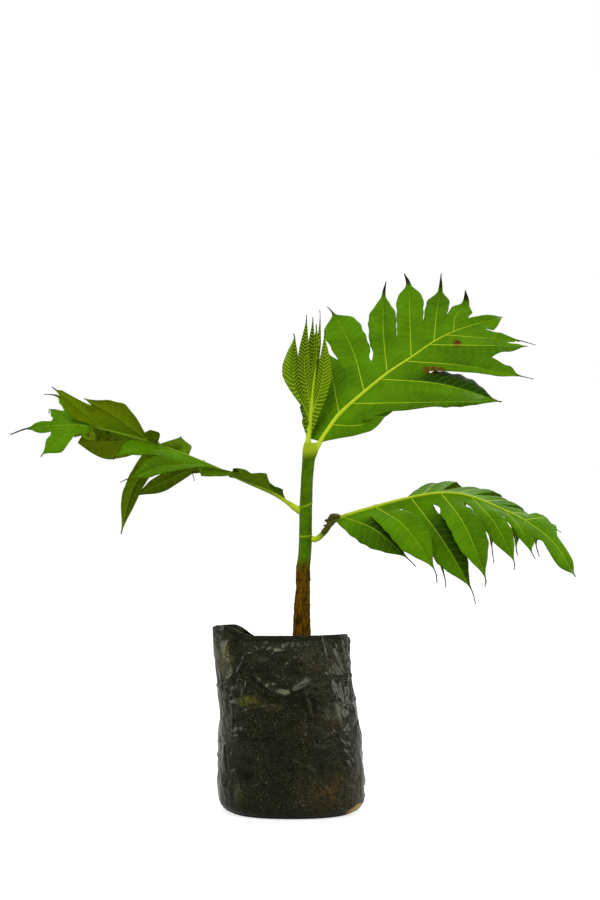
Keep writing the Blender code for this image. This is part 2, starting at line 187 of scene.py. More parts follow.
def film_material(black):
    """Black polythene film, blown thin: sharp glints on its creases, dulled by dust and dried soil."""
    made, shader, add = new_material("black polythene film")
    (tanned, mossy, hole_shade, _), place = tone_and_place(add)
    smear = add("TexNoise", {"Vector": place, "Scale": 1 / (26 * MM), "Detail": 6, "Roughness": 0.7})
    smeared = add("MapRange", {0: smear, 1: 0.42, 2: 0.66, 4: 0.7})
    # grains of dust, thicker where the film is smeared
    speck = add("TexNoise", {"Vector": place, "Scale": 1 / (1.5 * MM), "Detail": 2})
    specked = add("MapRange", {0: speck, 1: 0.6, 2: 0.72, 4: 0.55})
    spread = add("MapRange", {0: smear, 1: 0.45, 2: 0.6, 3: 0.3})
    dusty = add("Math", {0: specked, 1: spread}, operation="MULTIPLY")
    grain = add("TexNoise", {"Vector": place, "Scale": 1 / (5 * MM), "Detail": 6, "Roughness": 0.75})
    streak = add("MapRange", {0: grain, 1: 0.4, 2: 0.62})
    greened = add("Math", {0: streak, 1: mossy}, operation="MULTIPLY", use_clamp=True)
    # the tan tone is whole where the film is torn, and breaks up into dust where it is faint
    whole = add("MapRange", {0: tanned, 1: 0.4, 2: 0.9})
    faint = add("Math", {0: streak, 1: tanned}, operation="MULTIPLY")
    earthy = add("Math", {0: whole, 1: faint}, operation="MAXIMUM")
    body = black
    # painted shade: the drain holes are near-black for the shade inside them
    for cover, code in ((smeared, "#191a0e"), (dusty, "#86826c"), (greened, "#57561e"), (earthy, "#a8842c"),
                        (hole_shade, "#020202")):
        body = add("Mix", {0: cover, 6: body, 7: linear(code)}, data_type="RGBA")
    rough = add("MapRange", {0: smear, 1: 0.35, 2: 0.7, 3: 0.16, 4: 0.36})
    # crinkles: sharp creases where the noise crosses its middle
    crinkle = add("TexNoise", {"Vector": place, "Scale": 1 / (24 * MM), "Detail": 2, "Distortion": 0.3})
    middle = add("Math", {0: crinkle, 1: 0.5}, operation="SUBTRACT")
    away = add("Math", {0: middle}, operation="ABSOLUTE")
    crease = add("MapRange", {0: away, 2: 0.07, 3: 1, 4: 0})
    bump = add("Bump", {"Height": crease, "Strength": 0.45, "Distance": 0.8 * MM})
    fill(shader, {"Base Color": body, "Roughness": rough, "Normal": bump, "IOR": 1.51,
                  "Specular IOR Level": 0.3, "Specular Tint": linear("#d6d8b4")})
    return made


def soil_material(name, dark, light):
    """Moist potting mix: dark humus with paler grit, dull all over."""
    made, shader, add = new_material(name)
    grit = add("TexNoise", {"Vector": add("TexCoord").outputs["Object"], "Scale": 1 / (3 * MM), "Detail": 5})
    gritty = add("MapRange", {0: grit, 1: 0.4, 2: 0.7})
    body = add("Mix", {0: gritty, 6: dark, 7: light}, data_type="RGBA")
    bump = add("Bump", {"Height": grit, "Strength": 0.8, "Distance": 1 * MM})
    fill(shader, {"Base Color": body, "Roughness": 0.92, "Normal": bump})
    return made


# ---------------------------------------------------------------- curves and meshes

def unit(vectors):
    """Vectors at length one."""
    vectors = np.asarray(vectors, float)
    return vectors / np.linalg.norm(vectors, axis=-1, keepdims=True)


def square_to(vectors, axes):
    """The part of each vector that stands square to a unit axis, at length one."""
    vectors, axes = np.broadcast_arrays(np.asarray(vectors, float), np.asarray(axes, float))
    return unit(vectors - (vectors * axes).sum(-1, keepdims=True) * axes)


def passed(value, low, high):
    """How far a value has come from low to high, as a share."""
    return np.clip((np.asarray(value, float) - low) / (high - low), 0, 1)


def ease(value, low, high):
    """A smooth step from 0 at low to 1 at high."""
    share = passed(value, low, high)
    return share * share * (3 - 2 * share)


def read(value, stops, rows):
    """Rows of numbers, one at each stop, read at a value or values between the stops."""
    return np.stack([np.interp(value, stops, column) for column in np.transpose(rows)], axis=-1)


def profile(heights, sections, window):
    """Sections read at evenly spaced heights and eased over a window of them, one line a measure."""
    sections = np.array(sections, float)
    kernel = np.hanning(window) / np.hanning(window).sum()
    lines = read(heights, sections[:, 0], sections[:, 1:]).T
    return [np.convolve(np.pad(line, window // 2, mode="edge"), kernel, "valid") for line in lines]


def around(sides):
    """Angles once round a ring, where the last is the first again."""
    return np.append(np.linspace(0, 2 * math.pi, sides, endpoint=False), 0)


class Route:
    """A smooth curve through a few points, read by share of its length."""

    STEPS = 24

    def __init__(self, points):
        points = np.array(points, float)
        ends = np.vstack([2 * points[0] - points[1], points, 2 * points[-1] - points[-2]])
        share = np.linspace(0, 1, self.STEPS, endpoint=False)[:, None]
        dense = []
        for a, b, c, d in zip(ends, ends[1:], ends[2:], ends[3:]):
            bend = (2 * a - 5 * b + 4 * c - d) * share ** 2 + (3 * b - a - 3 * c + d) * share ** 3
            dense.append(b + 0.5 * ((c - a) * share + bend))
        self.dense = np.vstack(dense + [points[-1:]])
        steps = np.linalg.norm(np.diff(self.dense, axis=0), axis=1)
        self.length = steps.sum()
        self.shares = np.concatenate([[0], np.cumsum(steps)]) / self.length

    def at(self, share):
        """The point, or points, at a share of the length."""
        return read(share, self.shares, self.dense)

    def heading(self, share):
        """The unit direction of travel at a share of the length."""
        share = np.asarray(share, float)
        return unit(self.at(np.minimum(share + 0.01, 1)) - self.at(np.maximum(share - 0.01, 0)))

    def share_of(self, place):
        """The share of the length at which the curve passes closest to a place."""
        return self.shares[np.argmin(np.linalg.norm(self.dense - place, axis=1))]


class Skin:
    """A mesh built from grids of points that join where they meet.

    A point's look is its tone: the share of painted shade, of olive painted as light shining through the
    blade, of dryness, and of brown spots that are blemishes and painted shadow. Then come its RISE along
    the normal and whether it is HELD while the skin is smoothed. Each corner of a face has a place in the
    vein map, in millimetres.
    """

    RISE, HELD = 4, 5

    def __init__(self):
        self.points, self.looks, self.faces, self.places = [[] for _ in range(4)]
        self.found = {}

    def index(self, point, look):
        """The number of a point, new or already there."""
        number = self.found.setdefault(tuple(np.round(point, 3)), len(self.points))
        if number == len(self.points):
            self.points.append(point)
            self.looks.append(look)
        self.looks[number][self.HELD] = max(self.looks[number][self.HELD], look[self.HELD])
        return number

    def grid(self, points, tones, flip=False, places=None, rises=0, held=True):
        """Add a grid of points as quads, or triangles where corners meet."""
        rows, columns = points.shape[:2]
        places = np.zeros((rows, columns, 2)) if places is None else places
        looks = np.zeros((rows, columns, 6))
        looks[..., :np.shape(tones)[-1]] = tones
        looks[..., self.RISE] = rises
        looks[..., self.HELD] = held
        numbers = [[self.index(*pair) for pair in zip(*row)] for row in zip(points, looks)]
        for r, c in np.ndindex(rows - 1, columns - 1):
            corners = [(r, c), (r, c + 1), (r + 1, c + 1), (r + 1, c)]
            if flip:
                corners.reverse()
            spots = {}
            for row, column in corners:
                spots.setdefault(numbers[row][column], places[row, column])
            if len(spots) > 2:
                self.faces.append(list(spots))
                self.places.append(list(spots.values()))

    def limb(self, rings, tones, first, last=None):
        """Add rings of points, closed at a first point and, where one is given, at a last one."""
        order = [0, *range(len(rings))] + [-1] * (last is not None)
        tones = np.broadcast_to(tones, (*rings.shape[:2], np.shape(tones)[-1]))[order]
        rings = rings[order]
        rings[0] = first
        if last is not None:
            rings[-1] = last
        self.grid(rings, tones)

    def tube(self, centres, radii, sides, tones):
        """Add a round limb along a line of points, with its ends closed."""
        centres = np.asarray(centres, float)
        heading = unit(np.gradient(centres, axis=0))
        first = square_to(np.eye(3)[np.abs(heading).max(axis=0).argmin()], heading)
        second = np.cross(heading, first)
        angles = around(sides)[:, None]
        ring = first[:, None] * np.cos(angles) + second[:, None] * np.sin(angles)
        self.limb(centres[:, None] + ring * np.reshape(radii, (-1, 1, 1)),
                  np.reshape(tones, (-1, 1, 3)), centres[0], centres[-1])

    def smooth(self, rounds):
        """Ease out the creases between grids, leaving veins and margins where they are."""
        points = np.array(self.points)
        free = np.array(self.looks)[:, self.HELD] == 0
        pairs = {(min(a, b), max(a, b)) for face in self.faces for a, b in zip(face, face[1:] + face[:1])}
        a, b = np.array(sorted(pairs)).T
        count = np.bincount(np.concatenate([a, b]), minlength=len(points))[:, None]
        for _ in range(rounds):
            total = np.zeros_like(points)
            np.add.at(total, a, points[b])
            np.add.at(total, b, points[a])
            points[free] = (total / np.maximum(count, 1))[free]
        self.points = list(points)

    def raise_points(self):
        """Move each point along its normal by its rise."""
        points = np.array(self.points)
        normals = np.zeros_like(points)
        for face in self.faces:
            corner = points[face]
            normals[face] += np.cross(corner[2] - corner[0], corner[-1] - corner[1])
        length = np.maximum(np.linalg.norm(normals, axis=1, keepdims=True), 1e-9)
        self.points = list(points + normals / length * np.array(self.looks)[:, [self.RISE]])

    def build(self, name, materials, smooth_shading=True):
        """The mesh as an object of the plant, in metres."""
        mesh = bpy.data.meshes.new(name)
        points = (np.array(self.points) + (0, 0, FOOT_DEPTH)) * MM
        mesh.from_pydata(points.tolist(), [], self.faces)
        tones = np.clip(np.array(self.looks)[:, :4], 0, 1)
        mesh.attributes.new("tone", "FLOAT_COLOR", "POINT").data.foreach_set("color", tones.ravel())
        spots = np.array([spot for face in self.places for spot in face]) * VEIN_MAP_UNIT
        mesh.uv_layers.new(name="veins").data.foreach_set("uv", spots.ravel())
        mesh.polygons.foreach_set("use_smooth", [smooth_shading] * len(mesh.polygons))
        for finish in materials:
            mesh.materials.append(finish)
        mesh.update()
        return new_object(name, mesh)


def new_object(name, data):
    """An object of the scene."""
    made = bpy.data.objects.new(name, data)
    bpy.context.scene.collection.objects.link(made)
    return made


def thicken(target, thickness, offset, other_side=0):
    """Give an open skin its thickness."""
    shell = target.modifiers.new("thickness", "SOLIDIFY")
    shell.thickness = thickness
    shell.offset = offset
    shell.material_offset = other_side


def finish_piece(piece, slot, *nodes):
    """Hang a piece on the plant and let it stand for its solids."""
    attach(piece, "root")
    if nodes:
        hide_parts(*nodes)


# ---------------------------------------------------------------- leaves

# A lobe's vein leaves the midrib at the share `at` of its length and ends at `tip`. Its middle stands
# off the straight line by `bow` along the midrib and by `lift` off the upper face. `wide` is the half
# width towards the leaf's base and towards its tip, and `cup` raises those two margins by that share
# of the half width. `drip` is the run of the fine point beyond the tip, across and up, `belly` is where
# the lobe is widest, and a smaller `full` makes its end rounder. The lobe parts from the next one at
# the share `cut` of their veins, with a hole `gap` wide there, and `tail` is the half width where its
# fine point begins. `shade` is painted shade on the two sides: dark green where a lobe lies in the
# shadow of another and where it turns from the light. `olive` paints on the two sides the underside's
# olive with light shining through it.
Lobe = namedtuple("Lobe", "at tip wide bow lift cup drip belly cut full gap tail shade olive",
                  defaults=(0, 0, (0, 0), (0, 0), 0.62, 0.3, 0.75, 0, 0.6, (0, 0), (0, 0)))
# `rib_look` gives how green and how brown the stalk and midrib are at shares of their length. `spots`
# are brown spots: blemishes, and on the left leaf painted shadow on its underside. Each is across,
# height, radius and how brown. `withered` are shrivelled rags of blade on the stalk: their share of the
# midrib and their height.
Leaf = namedtuple("Leaf", "name midrib radii vein start left right end_at end_wide end_drip end_out rib_look "
                  "spots withered", defaults=((), ()))

UPPER_RIGHT = Leaf(
    name="upper_right_leaf",
    midrib=[(28.8, 0, 393), (31.8, 1, 398), (41, 5, 412), (55, 10, 431), (82, 20, 455), (109, 30, 477),
            (136, 41, 495), (162, 51, 513), (186, 59, 525), (209, 66, 533), (241, 77, 542)],
    radii=(3.4, 2.7, 0.35), vein=0.75, start=0.03, end_at=0.83, end_wide=(8, 14), end_drip=0.03,
    end_out=(-0.4, 0.3, 0.9), rib_look=[(0, 0, 0), (0.5, 0.15, 0), (1, 0.8, 0)],
    spots=[(187, 510, 6, 1), (152, 479.5, 5, 0.9), (160, 479, 6, 0.9), (168, 478.5, 5, 0.8),
           (222, 448, 3, 1)],
    left=[
        Lobe(0.09, (19, 17, 425), (18, 6), belly=0.55, cut=0.75, full=0.5, shade=(0.3, 0.2)),
        Lobe(0.17, (43, 62, 500), (11, 17), cut=0.35, full=0.6, shade=(0.45, 0.3)),
        Lobe(0.31, (50, 92, 545), (22, 20.5), bow=5, drip=(-8, 10), belly=0.8, cut=0.22, full=0.45, gap=3),
        Lobe(0.435, (107, 106, 567), (17, 15), bow=-2, drip=(3, 18), belly=0.7, full=0.6, tail=2.2,
             shade=(0, 0.2)),
        Lobe(0.56, (136, 108, 579), (15, 16), drip=(-5, 15), belly=0.78, full=0.5, tail=3.2),
        Lobe(0.68, (172, 104, 572), (14, 13), bow=-1, drip=(1, 22), belly=0.76, full=0.55, tail=2.6,
             shade=(0.2, 0.25)),
        Lobe(0.775, (200, 92, 558), (11, 15), bow=-5, drip=(0, 16), belly=0.75, cut=0.4, tail=4.5),
    ],
    right=[
        Lobe(0.115, (104, -14, 428), (11, 5), bow=-6, belly=0.66, cut=0.5, full=0.45, shade=(0.25, 0.1)),
        Lobe(0.235, (225, -26, 444), (7, 4), cup=(-0.2, 0), drip=(3, -1), cut=0.85, full=0.6,
             shade=(0.3, 0.25)),
        Lobe(0.395, (222, -8, 447), (4, 24), bow=7, cup=(0, -0.45), drip=(4, -2), cut=0.28, full=0.5,
             shade=(0.1, 1)),
        Lobe(0.53, (250, 2, 473), (8, 12), bow=4, cup=(0.1, -0.1), drip=(18, -4), belly=0.8, cut=0.66,
             full=0.5, shade=(0, 0.25)),
        Lobe(0.655, (258, 18, 506), (12, 4), cup=(0.2, 0), drip=(5, 0), belly=0.85, cut=0.72, full=0.45,
             shade=(0.35, 0)),
        Lobe(0.74, (253, 34, 513), (4, 9), drip=(21, -5), cut=0.45, full=0.6),
    ])

LOWER_RIGHT = Leaf(
    name="lower_right_leaf",
    midrib=[(25.4, 0, 293), (30, -1, 293.5), (38.5, -1, 301), (52, -2, 315), (93, -5, 328.5),
            (135, -9, 339.5), (164, -12, 344), (186, -14, 343), (206, -15, 337.5), (235, -17, 325),
            (259, -19, 312.5), (287, -22, 290), (311, -25, 253)],
    radii=(3.4, 2.4, 0.4), vein=0.7, start=0.1, end_at=0.79, end_wide=(10, 15), end_drip=0.06,
    end_out=(0.6, 0.5, 0.6),
    rib_look=[(0, 0.1, 0), (0.02, 0.3, 0.1), (0.04, 0.9, 0.7), (0.09, 0.9, 0.75), (0.12, 0.6, 0.2),
              (0.16, 0.25, 0), (0.6, 0.3, 0), (1, 0.8, 0)],
    withered=[(0.045, 4), (0.055, 6), (0.066, 9), (0.074, 6), (0.082, 8), (0.09, 9), (0.1, 7), (0.108, 5)],
    left=[
        Lobe(0.17, (114, 48, 284), (12, 13), lift=24, drip=(5, -10), cut=0.2),
        Lobe(0.27, (173, 68, 253), (7, 14), bow=16, lift=42, cup=(0, -0.3), drip=(3, -18), cut=0.1),
        Lobe(0.39, (194, 70, 283), (14, 20), bow=8, lift=46, cup=(0.2, -0.35), drip=(1, -10), cut=0.1),
        Lobe(0.50, (228, 72, 283), (13, 18), bow=13, lift=33, cup=(0.2, -0.35), drip=(3, -20), cut=0.1),
        Lobe(0.60, (255, 64, 282), (10, 16), bow=5, lift=26, cup=(0.2, -0.3), drip=(2, -11), cut=0.1),
        Lobe(0.69, (276, 50, 284), (12, 11), bow=3, lift=16, cup=(0.2, -0.2), drip=(4, -13), cut=0.2),
        Lobe(0.75, (294, 24, 304), (10, 8), lift=8, drip=(8, -5), cut=0.6),
    ],
    right=[
        Lobe(0.13, (124, -45, 277), (21, 14), bow=4, lift=10, cup=(0, -0.35), drip=(12, -12), belly=0.5,
             cut=0.16, full=0.5, shade=(0.5, 1)),
        Lobe(0.24, (153, -74, 266), (20, 18), bow=5, lift=14, cup=(0.05, 0.05), drip=(4, -17), cut=0.12,
             full=0.65, gap=5, shade=(0, 0.05)),
        Lobe(0.36, (193, -62, 245), (18, 17), bow=2, lift=10, cup=(-0.25, -0.35), drip=(6, -19), cut=0.12,
             full=0.65, gap=3.5, shade=(0.15, 0.9)),
        Lobe(0.46, (207, -84, 258), (17, 18), bow=3, lift=14, cup=(0.1, 0.05), drip=(0, -12), cut=0.16,
             full=0.6, gap=3.5, shade=(0, 0.3)),
        Lobe(0.56, (240, -60, 273), (13, 14), lift=10, cup=(-0.2, 0), drip=(0, -11), cut=0.2, full=0.65,
             gap=2, shade=(0.15, 0.1)),
        Lobe(0.68, (260, -46, 282), (8, 9), lift=6, drip=(5, -9), cut=0.56),
    ])

LEFT = Leaf(
    name="left_leaf",
    midrib=[(8.6, 0, 325.5), (4, -1, 328.5), (-5, -2, 335), (-20, -3, 344), (-50, 1, 357),
            (-88, 9, 374), (-132, 12, 392), (-178, 7, 407), (-231, 0, 418), (-283, -4, 415),
            (-307, -7, 408)],
    radii=(4, 2.2, 0.35), vein=0.55, start=0.05, end_at=0.83, end_wide=(10, 10), end_drip=0.4,
    end_out=(0, -0.5, -0.9),
    rib_look=[(0, 0, 0.05), (0.06, 0.3, 0.1), (0.1, 0.7, 0.35), (0.3, 0.9, 0.3), (1, 0.9, 0.1)],
    # these spots are painted shadow, brown where the underside lies in shadow
    spots=[(-222, 407, 3, 0.8), (-212, 404, 2.5, 0.7), (-203, 403, 3, 0.8), (-192, 401, 3, 0.7)],
    left=[
        Lobe(0.085, (-13, -8, 350), (6, 8), belly=0.8, cut=0.8, full=0.4, shade=(0.7, 0.6),
             olive=(0.5, 0.5)),
        Lobe(0.13, (-34, -13, 366), (9, 9), belly=0.8, cut=0.85, full=0.4, shade=(0.2, 0.1),
             olive=(0.7, 0.6)),
        Lobe(0.19, (-57, -16, 371), (10, 10), belly=0.8, cut=0.6, full=0.4, shade=(0, 0.2),
             olive=(0.6, 0.4)),
        Lobe(0.33, (-172, -45, 361), (10, 16), bow=9, cup=(-0.1, 0.2), drip=(-11, -5), belly=0.5, cut=0.35,
             shade=(0.2, 0.4), olive=(0.1, 0.3)),
        Lobe(0.455, (-187, -36, 385), (7, 22), bow=3, drip=(-4, -5), belly=0.55, shade=(0.2, 0)),
        Lobe(0.50, (-153, -9, 413), (8, 9), belly=0.8, full=0.5, olive=(0.7, 1)),
        Lobe(0.54, (-226, -14, 448), (18, 3), bow=-3, belly=0.52, cut=0.72, full=0.8, olive=(1, 1)),
        Lobe(0.69, (-255, -16, 456), (4, 13), drip=(-5, 4), belly=0.5, olive=(1, 1)),
        Lobe(0.73, (-222, -10, 402), (9, 9), belly=0.8, cut=0.5, full=0.4, shade=(0.3, 0.1), olive=(1, 0.2)),
        Lobe(0.785, (-269, -30, 386), (14, 11), drip=(-1, -3), belly=0.3, cut=0.4, full=0.9),
    ],
    right=[
        Lobe(0.15, (-44, 16, 364), (9, 9), cut=0.7, full=0.5, shade=(0.5, 0.4)),
        Lobe(0.245, (-107, 38, 368), (8, 16), lift=3, drip=(0, -12), belly=0.5, cut=0.4, olive=(0.3, 0.3)),
        Lobe(0.35, (-173, 42, 340), (10, 9), drip=(-4, -3), cut=0.25, shade=(0.3, 0.3), olive=(0.8, 0.8)),
        Lobe(0.41, (-122, 30, 407), (8, 28), belly=0.35, cut=0.4, full=1.2, shade=(0.2, 0.4),
             olive=(0.8, 0.6)),
        Lobe(0.46, (-188, 38, 302), (9, 9), bow=15, lift=6, drip=(0, -4), cut=0.2, shade=(0.4, 0.2),
             olive=(0.6, 0.7)),
        Lobe(0.55, (-237, 34, 399), (20, 25), cup=(-0.45, 0.5), belly=0.58, cut=0.45, full=0.5,
             shade=(0.1, 0.3), olive=(1, 0.9)),
        Lobe(0.735, (-258, 26, 450), (7, 7), drip=(-16, 3), cut=0.5),
        Lobe(0.80, (-266, 18, 436), (7, 8), drip=(-1, -5), belly=0.5, cut=0.4),
    ])

YOUNG = Leaf(
    name="young_leaf",
    midrib=[(19.4, 0, 391.4), (19.4, 0, 394), (22, -1, 425), (26, -2, 465), (29, -1, 500), (29, 2, 530)],
    radii=(5, 3, 0.5), vein=0.75, start=0.1, end_at=0.7, end_wide=(4, 4), end_drip=0.2,
    end_out=(-1, 0.1, 0), rib_look=[(0, 0, 0), (0.1, 0.2, 0), (0.3, 0.6, 0), (1, 1, 0)],
    left=[
        Lobe(0.15, (14, -4, 427), (3, 4), cut=0.4, full=0.6, shade=(0.8, 0.8)),
        Lobe(0.26, (5, -10, 514), (12, 9), bow=-9, cup=(-0.2, 0.2), drip=(-2, 4), belly=0.42, cut=0.12,
             full=0.6, shade=(0, 0.5)),
        Lobe(0.34, (18, -11, 532), (9, 7), bow=-5, cup=(0.1, 0.2), drip=(0, 7), belly=0.42, cut=0.12,
             full=0.6, shade=(0.8, 0.5)),
        Lobe(0.42, (25, -6, 532), (5, 3), drip=(0, 5), shade=(0.9, 0.6)),
    ],
    right=[
        Lobe(0.27, (38, -4, 515), (10, 7), bow=-5, cup=(0, 0.2), drip=(0, 8), belly=0.45, cut=0.12, full=0.6,
             shade=(0, 0.4)),
        Lobe(0.36, (33, 2, 538), (5, 3), bow=-2, drip=(-1, 7), shade=(0.8, 0.5)),
    ])

# How far the blade reaches into the midrib's radius, how long a hole between lobes is as a share of
# the vein, how the last lobe ends and narrows, how wavy a spot's edge is, and where along their
# curves the raised veins stop. Lengths are in millimetres.
RIB_REACH = 0.5
GAP_LENGTH = 0.13
END_TAIL = 0.04
END_FULLNESS = 1.2
SPOT_EDGE_WAVE = 0.25
VEIN_STOP = 0.97
DRIP_END = 0.3
POINT_RADIUS = 0.32
MARGIN_WAVE_LENGTH = 17
LONG_VEIN = 70
STALK_ROOT = 7
RAG_RADIUS = 2.8
ROWS = 64
COLUMNS = 10
VEIN_ROWS = 32
VEIN_SIDES = 6
RIB_ROWS = 120
RIB_SIDES = 14
RAG_ROWS = 9

# How a blade is puckered: side veins vein_gap apart, line_width wide and leaning by slant, quilted
# between them, arched between the lobes' veins, and waved and fluttered along the margins
BladeStyle = namedtuple("BladeStyle", "vein_gap line_width slant quilt arch wave flutter smoothing")
MATURE = BladeStyle(vein_gap=9, line_width=0.8, slant=0.55, quilt=0.35, arch=0.12, wave=0.035, flutter=0.4,
                    smoothing=6)
FOLDED = BladeStyle(vein_gap=3.8, line_width=0.75, slant=0.8, quilt=0.5, arch=0.25, wave=0.03, flutter=0.2,
                    smoothing=3)


def rib_radius(leaf, share):
    """The midrib's radius, from the stalk's foot past the blade's base to the tip."""
    return np.interp(share, (0, leaf.start, 1), leaf.radii)


class HalfBlade:
    """One side of a leaf's blade, laid out from the veins to the margins."""

    def __init__(self, leaf, side, style):
        self.leaf = leaf
        self.side = side
        self.style = style
        self.lobes = leaf.left if side > 0 else leaf.right
        self.midrib = Route(leaf.midrib)
        self.shares = np.linspace(0, 1, ROWS + 1)
        self.stations = [*(lobe.at for lobe in self.lobes), (1 + leaf.end_at) / 2]
        outward = [square_to(lobe.tip - self.midrib.at(lobe.at), self.midrib.heading(lobe.at))
                   for lobe in self.lobes]
        self.outward = np.array(outward + [unit(leaf.end_out) * side])
        self.skin = Skin()
        self.veins = []

    def out_from_rib(self, share):
        """The direction in which the blade leaves the midrib at a share of its length."""
        return square_to(read(share, self.stations, self.outward), self.midrib.heading(share))

    def edge(self, share):
        """The blade's edge, sunk into the side of the midrib."""
        reach = np.asarray(rib_radius(self.leaf, share) * RIB_REACH)[..., None]
        return self.midrib.at(share) + self.out_from_rib(share) * reach

    def along(self, lobe):
        """The direction along the midrib, square to a lobe's run."""
        return square_to(self.midrib.heading(lobe.at), unit(lobe.tip - self.edge(lobe.at)))

    def vein(self, lobe):
        """A lobe's vein with its fine point, and the share at which the point begins."""
        root = self.edge(lobe.at)
        tip = np.array(lobe.tip, float)
        chord = tip - root
        upper = unit(np.cross(self.midrib.heading(lobe.at), chord)) * self.side
        stops = [root, root + chord / 2 + self.along(lobe) * lobe.bow + upper * lobe.lift, tip]
        across, rise = lobe.drip
        if not (across or rise):
            return Route(stops), 1.0
        route = Route([*stops, tip + (across, chord[1] * 0.03, rise)])
        return route, route.share_of(tip)

    def patch(self, centres, margins, parted, spread, painted_shade_and_olive, dry, flip):
        """Add the surface between a vein and a margin, arched between the veins and quilted."""
        style = self.style
        across = np.linspace(0, 1, COLUMNS)
        reach = margins - centres
        width = np.linalg.norm(reach, axis=1)
        points = centres[:, None] + reach[:, None] * across[:, None]
        along = np.concatenate([[0], np.cumsum(np.linalg.norm(np.diff(centres, axis=0), axis=1))])
        out = width[:, None] * across
        places = np.stack([np.broadcast_to(along[:, None], out.shape), out], axis=-1)
        start = parted / ROWS
        lift = style.arch * spread * np.minimum(self.shares / max(start, 0.1), 1)
        lift *= 1 - ease(self.shares, 0.6, 1)
        free = 0.8 * ease(self.shares, start, start + 0.2)
        arch = lift[:, None] * np.sin(math.pi / 2 * across * (1 + free[:, None]))
        phase = math.pi * (along[:, None] - style.slant * out) / style.vein_gap
        fade = np.sin(math.pi * across) ** 0.6 * np.clip(width / 6, 0, 1)[:, None]
        rises = arch + style.quilt * np.abs(np.sin(phase)) * fade
        apart = ease(self.shares, 0.1, 0.4)
        tones = np.zeros((*out.shape, 4))
        # the shade share is painted shade and the olive share paints light shining through the blade; both
        # fade in away from the midrib
        tones[..., :3] = np.stack([painted_shade_and_olive[0] * apart, painted_shade_and_olive[1] * apart, dry], axis=-1)[:, None]
        held = np.ones(out.shape, bool)
        held[1:-1, 1:-1] = held[1:parted, -1] = False
        for spot_across, spot_height, radius, brown in self.leaf.spots:
            away = np.hypot(points[..., 0] - spot_across, points[..., 2] - spot_height)
            away *= 1 + SPOT_EDGE_WAVE * np.sin(points[..., 0] + 1.7 * points[..., 2])
            tones[..., 3] = np.maximum(tones[..., 3], brown * (1 - ease(away, 0.5 * radius, radius)))
        self.skin.grid(points, tones, flip, places, rises, held)

    def free_margin(self, lobe, vein, tip_share, parted, first, towards_tip):
        """The free margin of one side of a lobe, from where it leaves its neighbour to its tip."""
        shares = self.shares[parted:]
        start = shares[0]
        belly = min(max(lobe.belly * tip_share, start + 0.12), 0.96 * tip_share)
        turn = 1 if towards_tip else -1
        width = lobe.wide[towards_tip]
        heading = vein.heading(shares)
        across = square_to(self.along(lobe) * turn, heading)
        upper = np.cross(across, heading) * self.side * turn
        wave = np.sin(2 * math.pi * shares * vein.length / MARGIN_WAVE_LENGTH + 40 * lobe.at)
        wavy = width * (1 + self.style.wave * wave)[:, None]
        full = across * wavy + upper * (lobe.cup[towards_tip] * width + self.style.flutter * wave[:, None])
        swell = np.sin(math.pi / 2 * passed(shares, start, belly))[:, None]
        past = passed(shares, belly, tip_share)
        fall = ((0.5 + 0.5 * np.cos(math.pi * past)) ** lobe.full)[:, None]
        pointed = tip_share < 1
        drip = passed(shares, tip_share, 1)[:, None] if pointed else 0
        thin = lobe.tail + (DRIP_END - lobe.tail) * drip if pointed else 0
        opening = np.sin(math.pi * passed(shares, start, start + GAP_LENGTH))[:, None]
        pinch = 1 - lobe.gap / max(np.linalg.norm(first), 1) * opening
        return vein.at(shares) + np.where((shares <= belly)[:, None],
                                          (first * (1 - swell) + full * swell) * pinch,
                                          full * fall + across * thin * (1 - fall))

    def lobe_side(self, lobe, seam, towards_tip):
        """One side of a lobe: along the seam it shares with its neighbour, then its free margin."""
        vein, tip_share = self.vein(lobe)
        line, parted, spread, gap = seam
        lobe = lobe._replace(gap=gap)
        margin = self.free_margin(lobe, vein, tip_share, parted, line[-1] - vein.at(self.shares[parted]),
                                  towards_tip)
        dry = ease(self.shares, tip_share - 0.02, (tip_share + 1) / 2) if tip_share < 1 else 0 * self.shares
        # this side's painted shade, and its olive painted as light shining through the blade
        painted_shade_and_olive = lobe.shade[towards_tip], lobe.olive[towards_tip]
        self.patch(vein.at(self.shares), np.concatenate([line[:-1], margin]), parted, spread, painted_shade_and_olive, dry,
                   flip=(self.side > 0) != towards_tip)
        if towards_tip:
            self.veins.append((lobe.at, vein, tip_share))

    def end_side(self, seam):
        """This side's half of the lobe at the end of the midrib."""
        line, parted, spread, _ = seam
        width = self.leaf.end_wide[self.side < 0]
        shares = self.shares[parted:]
        blade_end = 1 - self.leaf.end_drip
        past = passed(shares, shares[0], blade_end)
        swell = np.maximum(np.cos(math.pi / 2 * past ** END_FULLNESS), END_TAIL)[:, None]
        places = self.leaf.end_at + self.shares * (1 - self.leaf.end_at)
        centres = self.edge(places)
        out = self.out_from_rib(places[parted:]) * width * swell
        join = (1 - ease(shares, shares[0], shares[0] + 0.2))[:, None]
        margin = centres[parted:] + out * (1 - join) + (line[-1] - centres[parted]) * join
        dry = ease(self.shares, blade_end, blade_end + 0.1)
        self.patch(centres, np.concatenate([line[:-1], margin]), parted, spread, (0, 0), dry,
                   flip=self.side > 0)

    def seam(self, here, there, foot, cut, gap):
        """The line half way between two veins, from the midrib to where the lobes part."""
        parted = round(cut * ROWS)
        shares = self.shares[:parted + 1]
        line = (here(shares) + there(shares)) / 2
        line += (foot - line[0]) * (1 - shares / shares[-1])[:, None]
        return line, parted, np.linalg.norm(here(cut) - there(cut)) / 2, gap

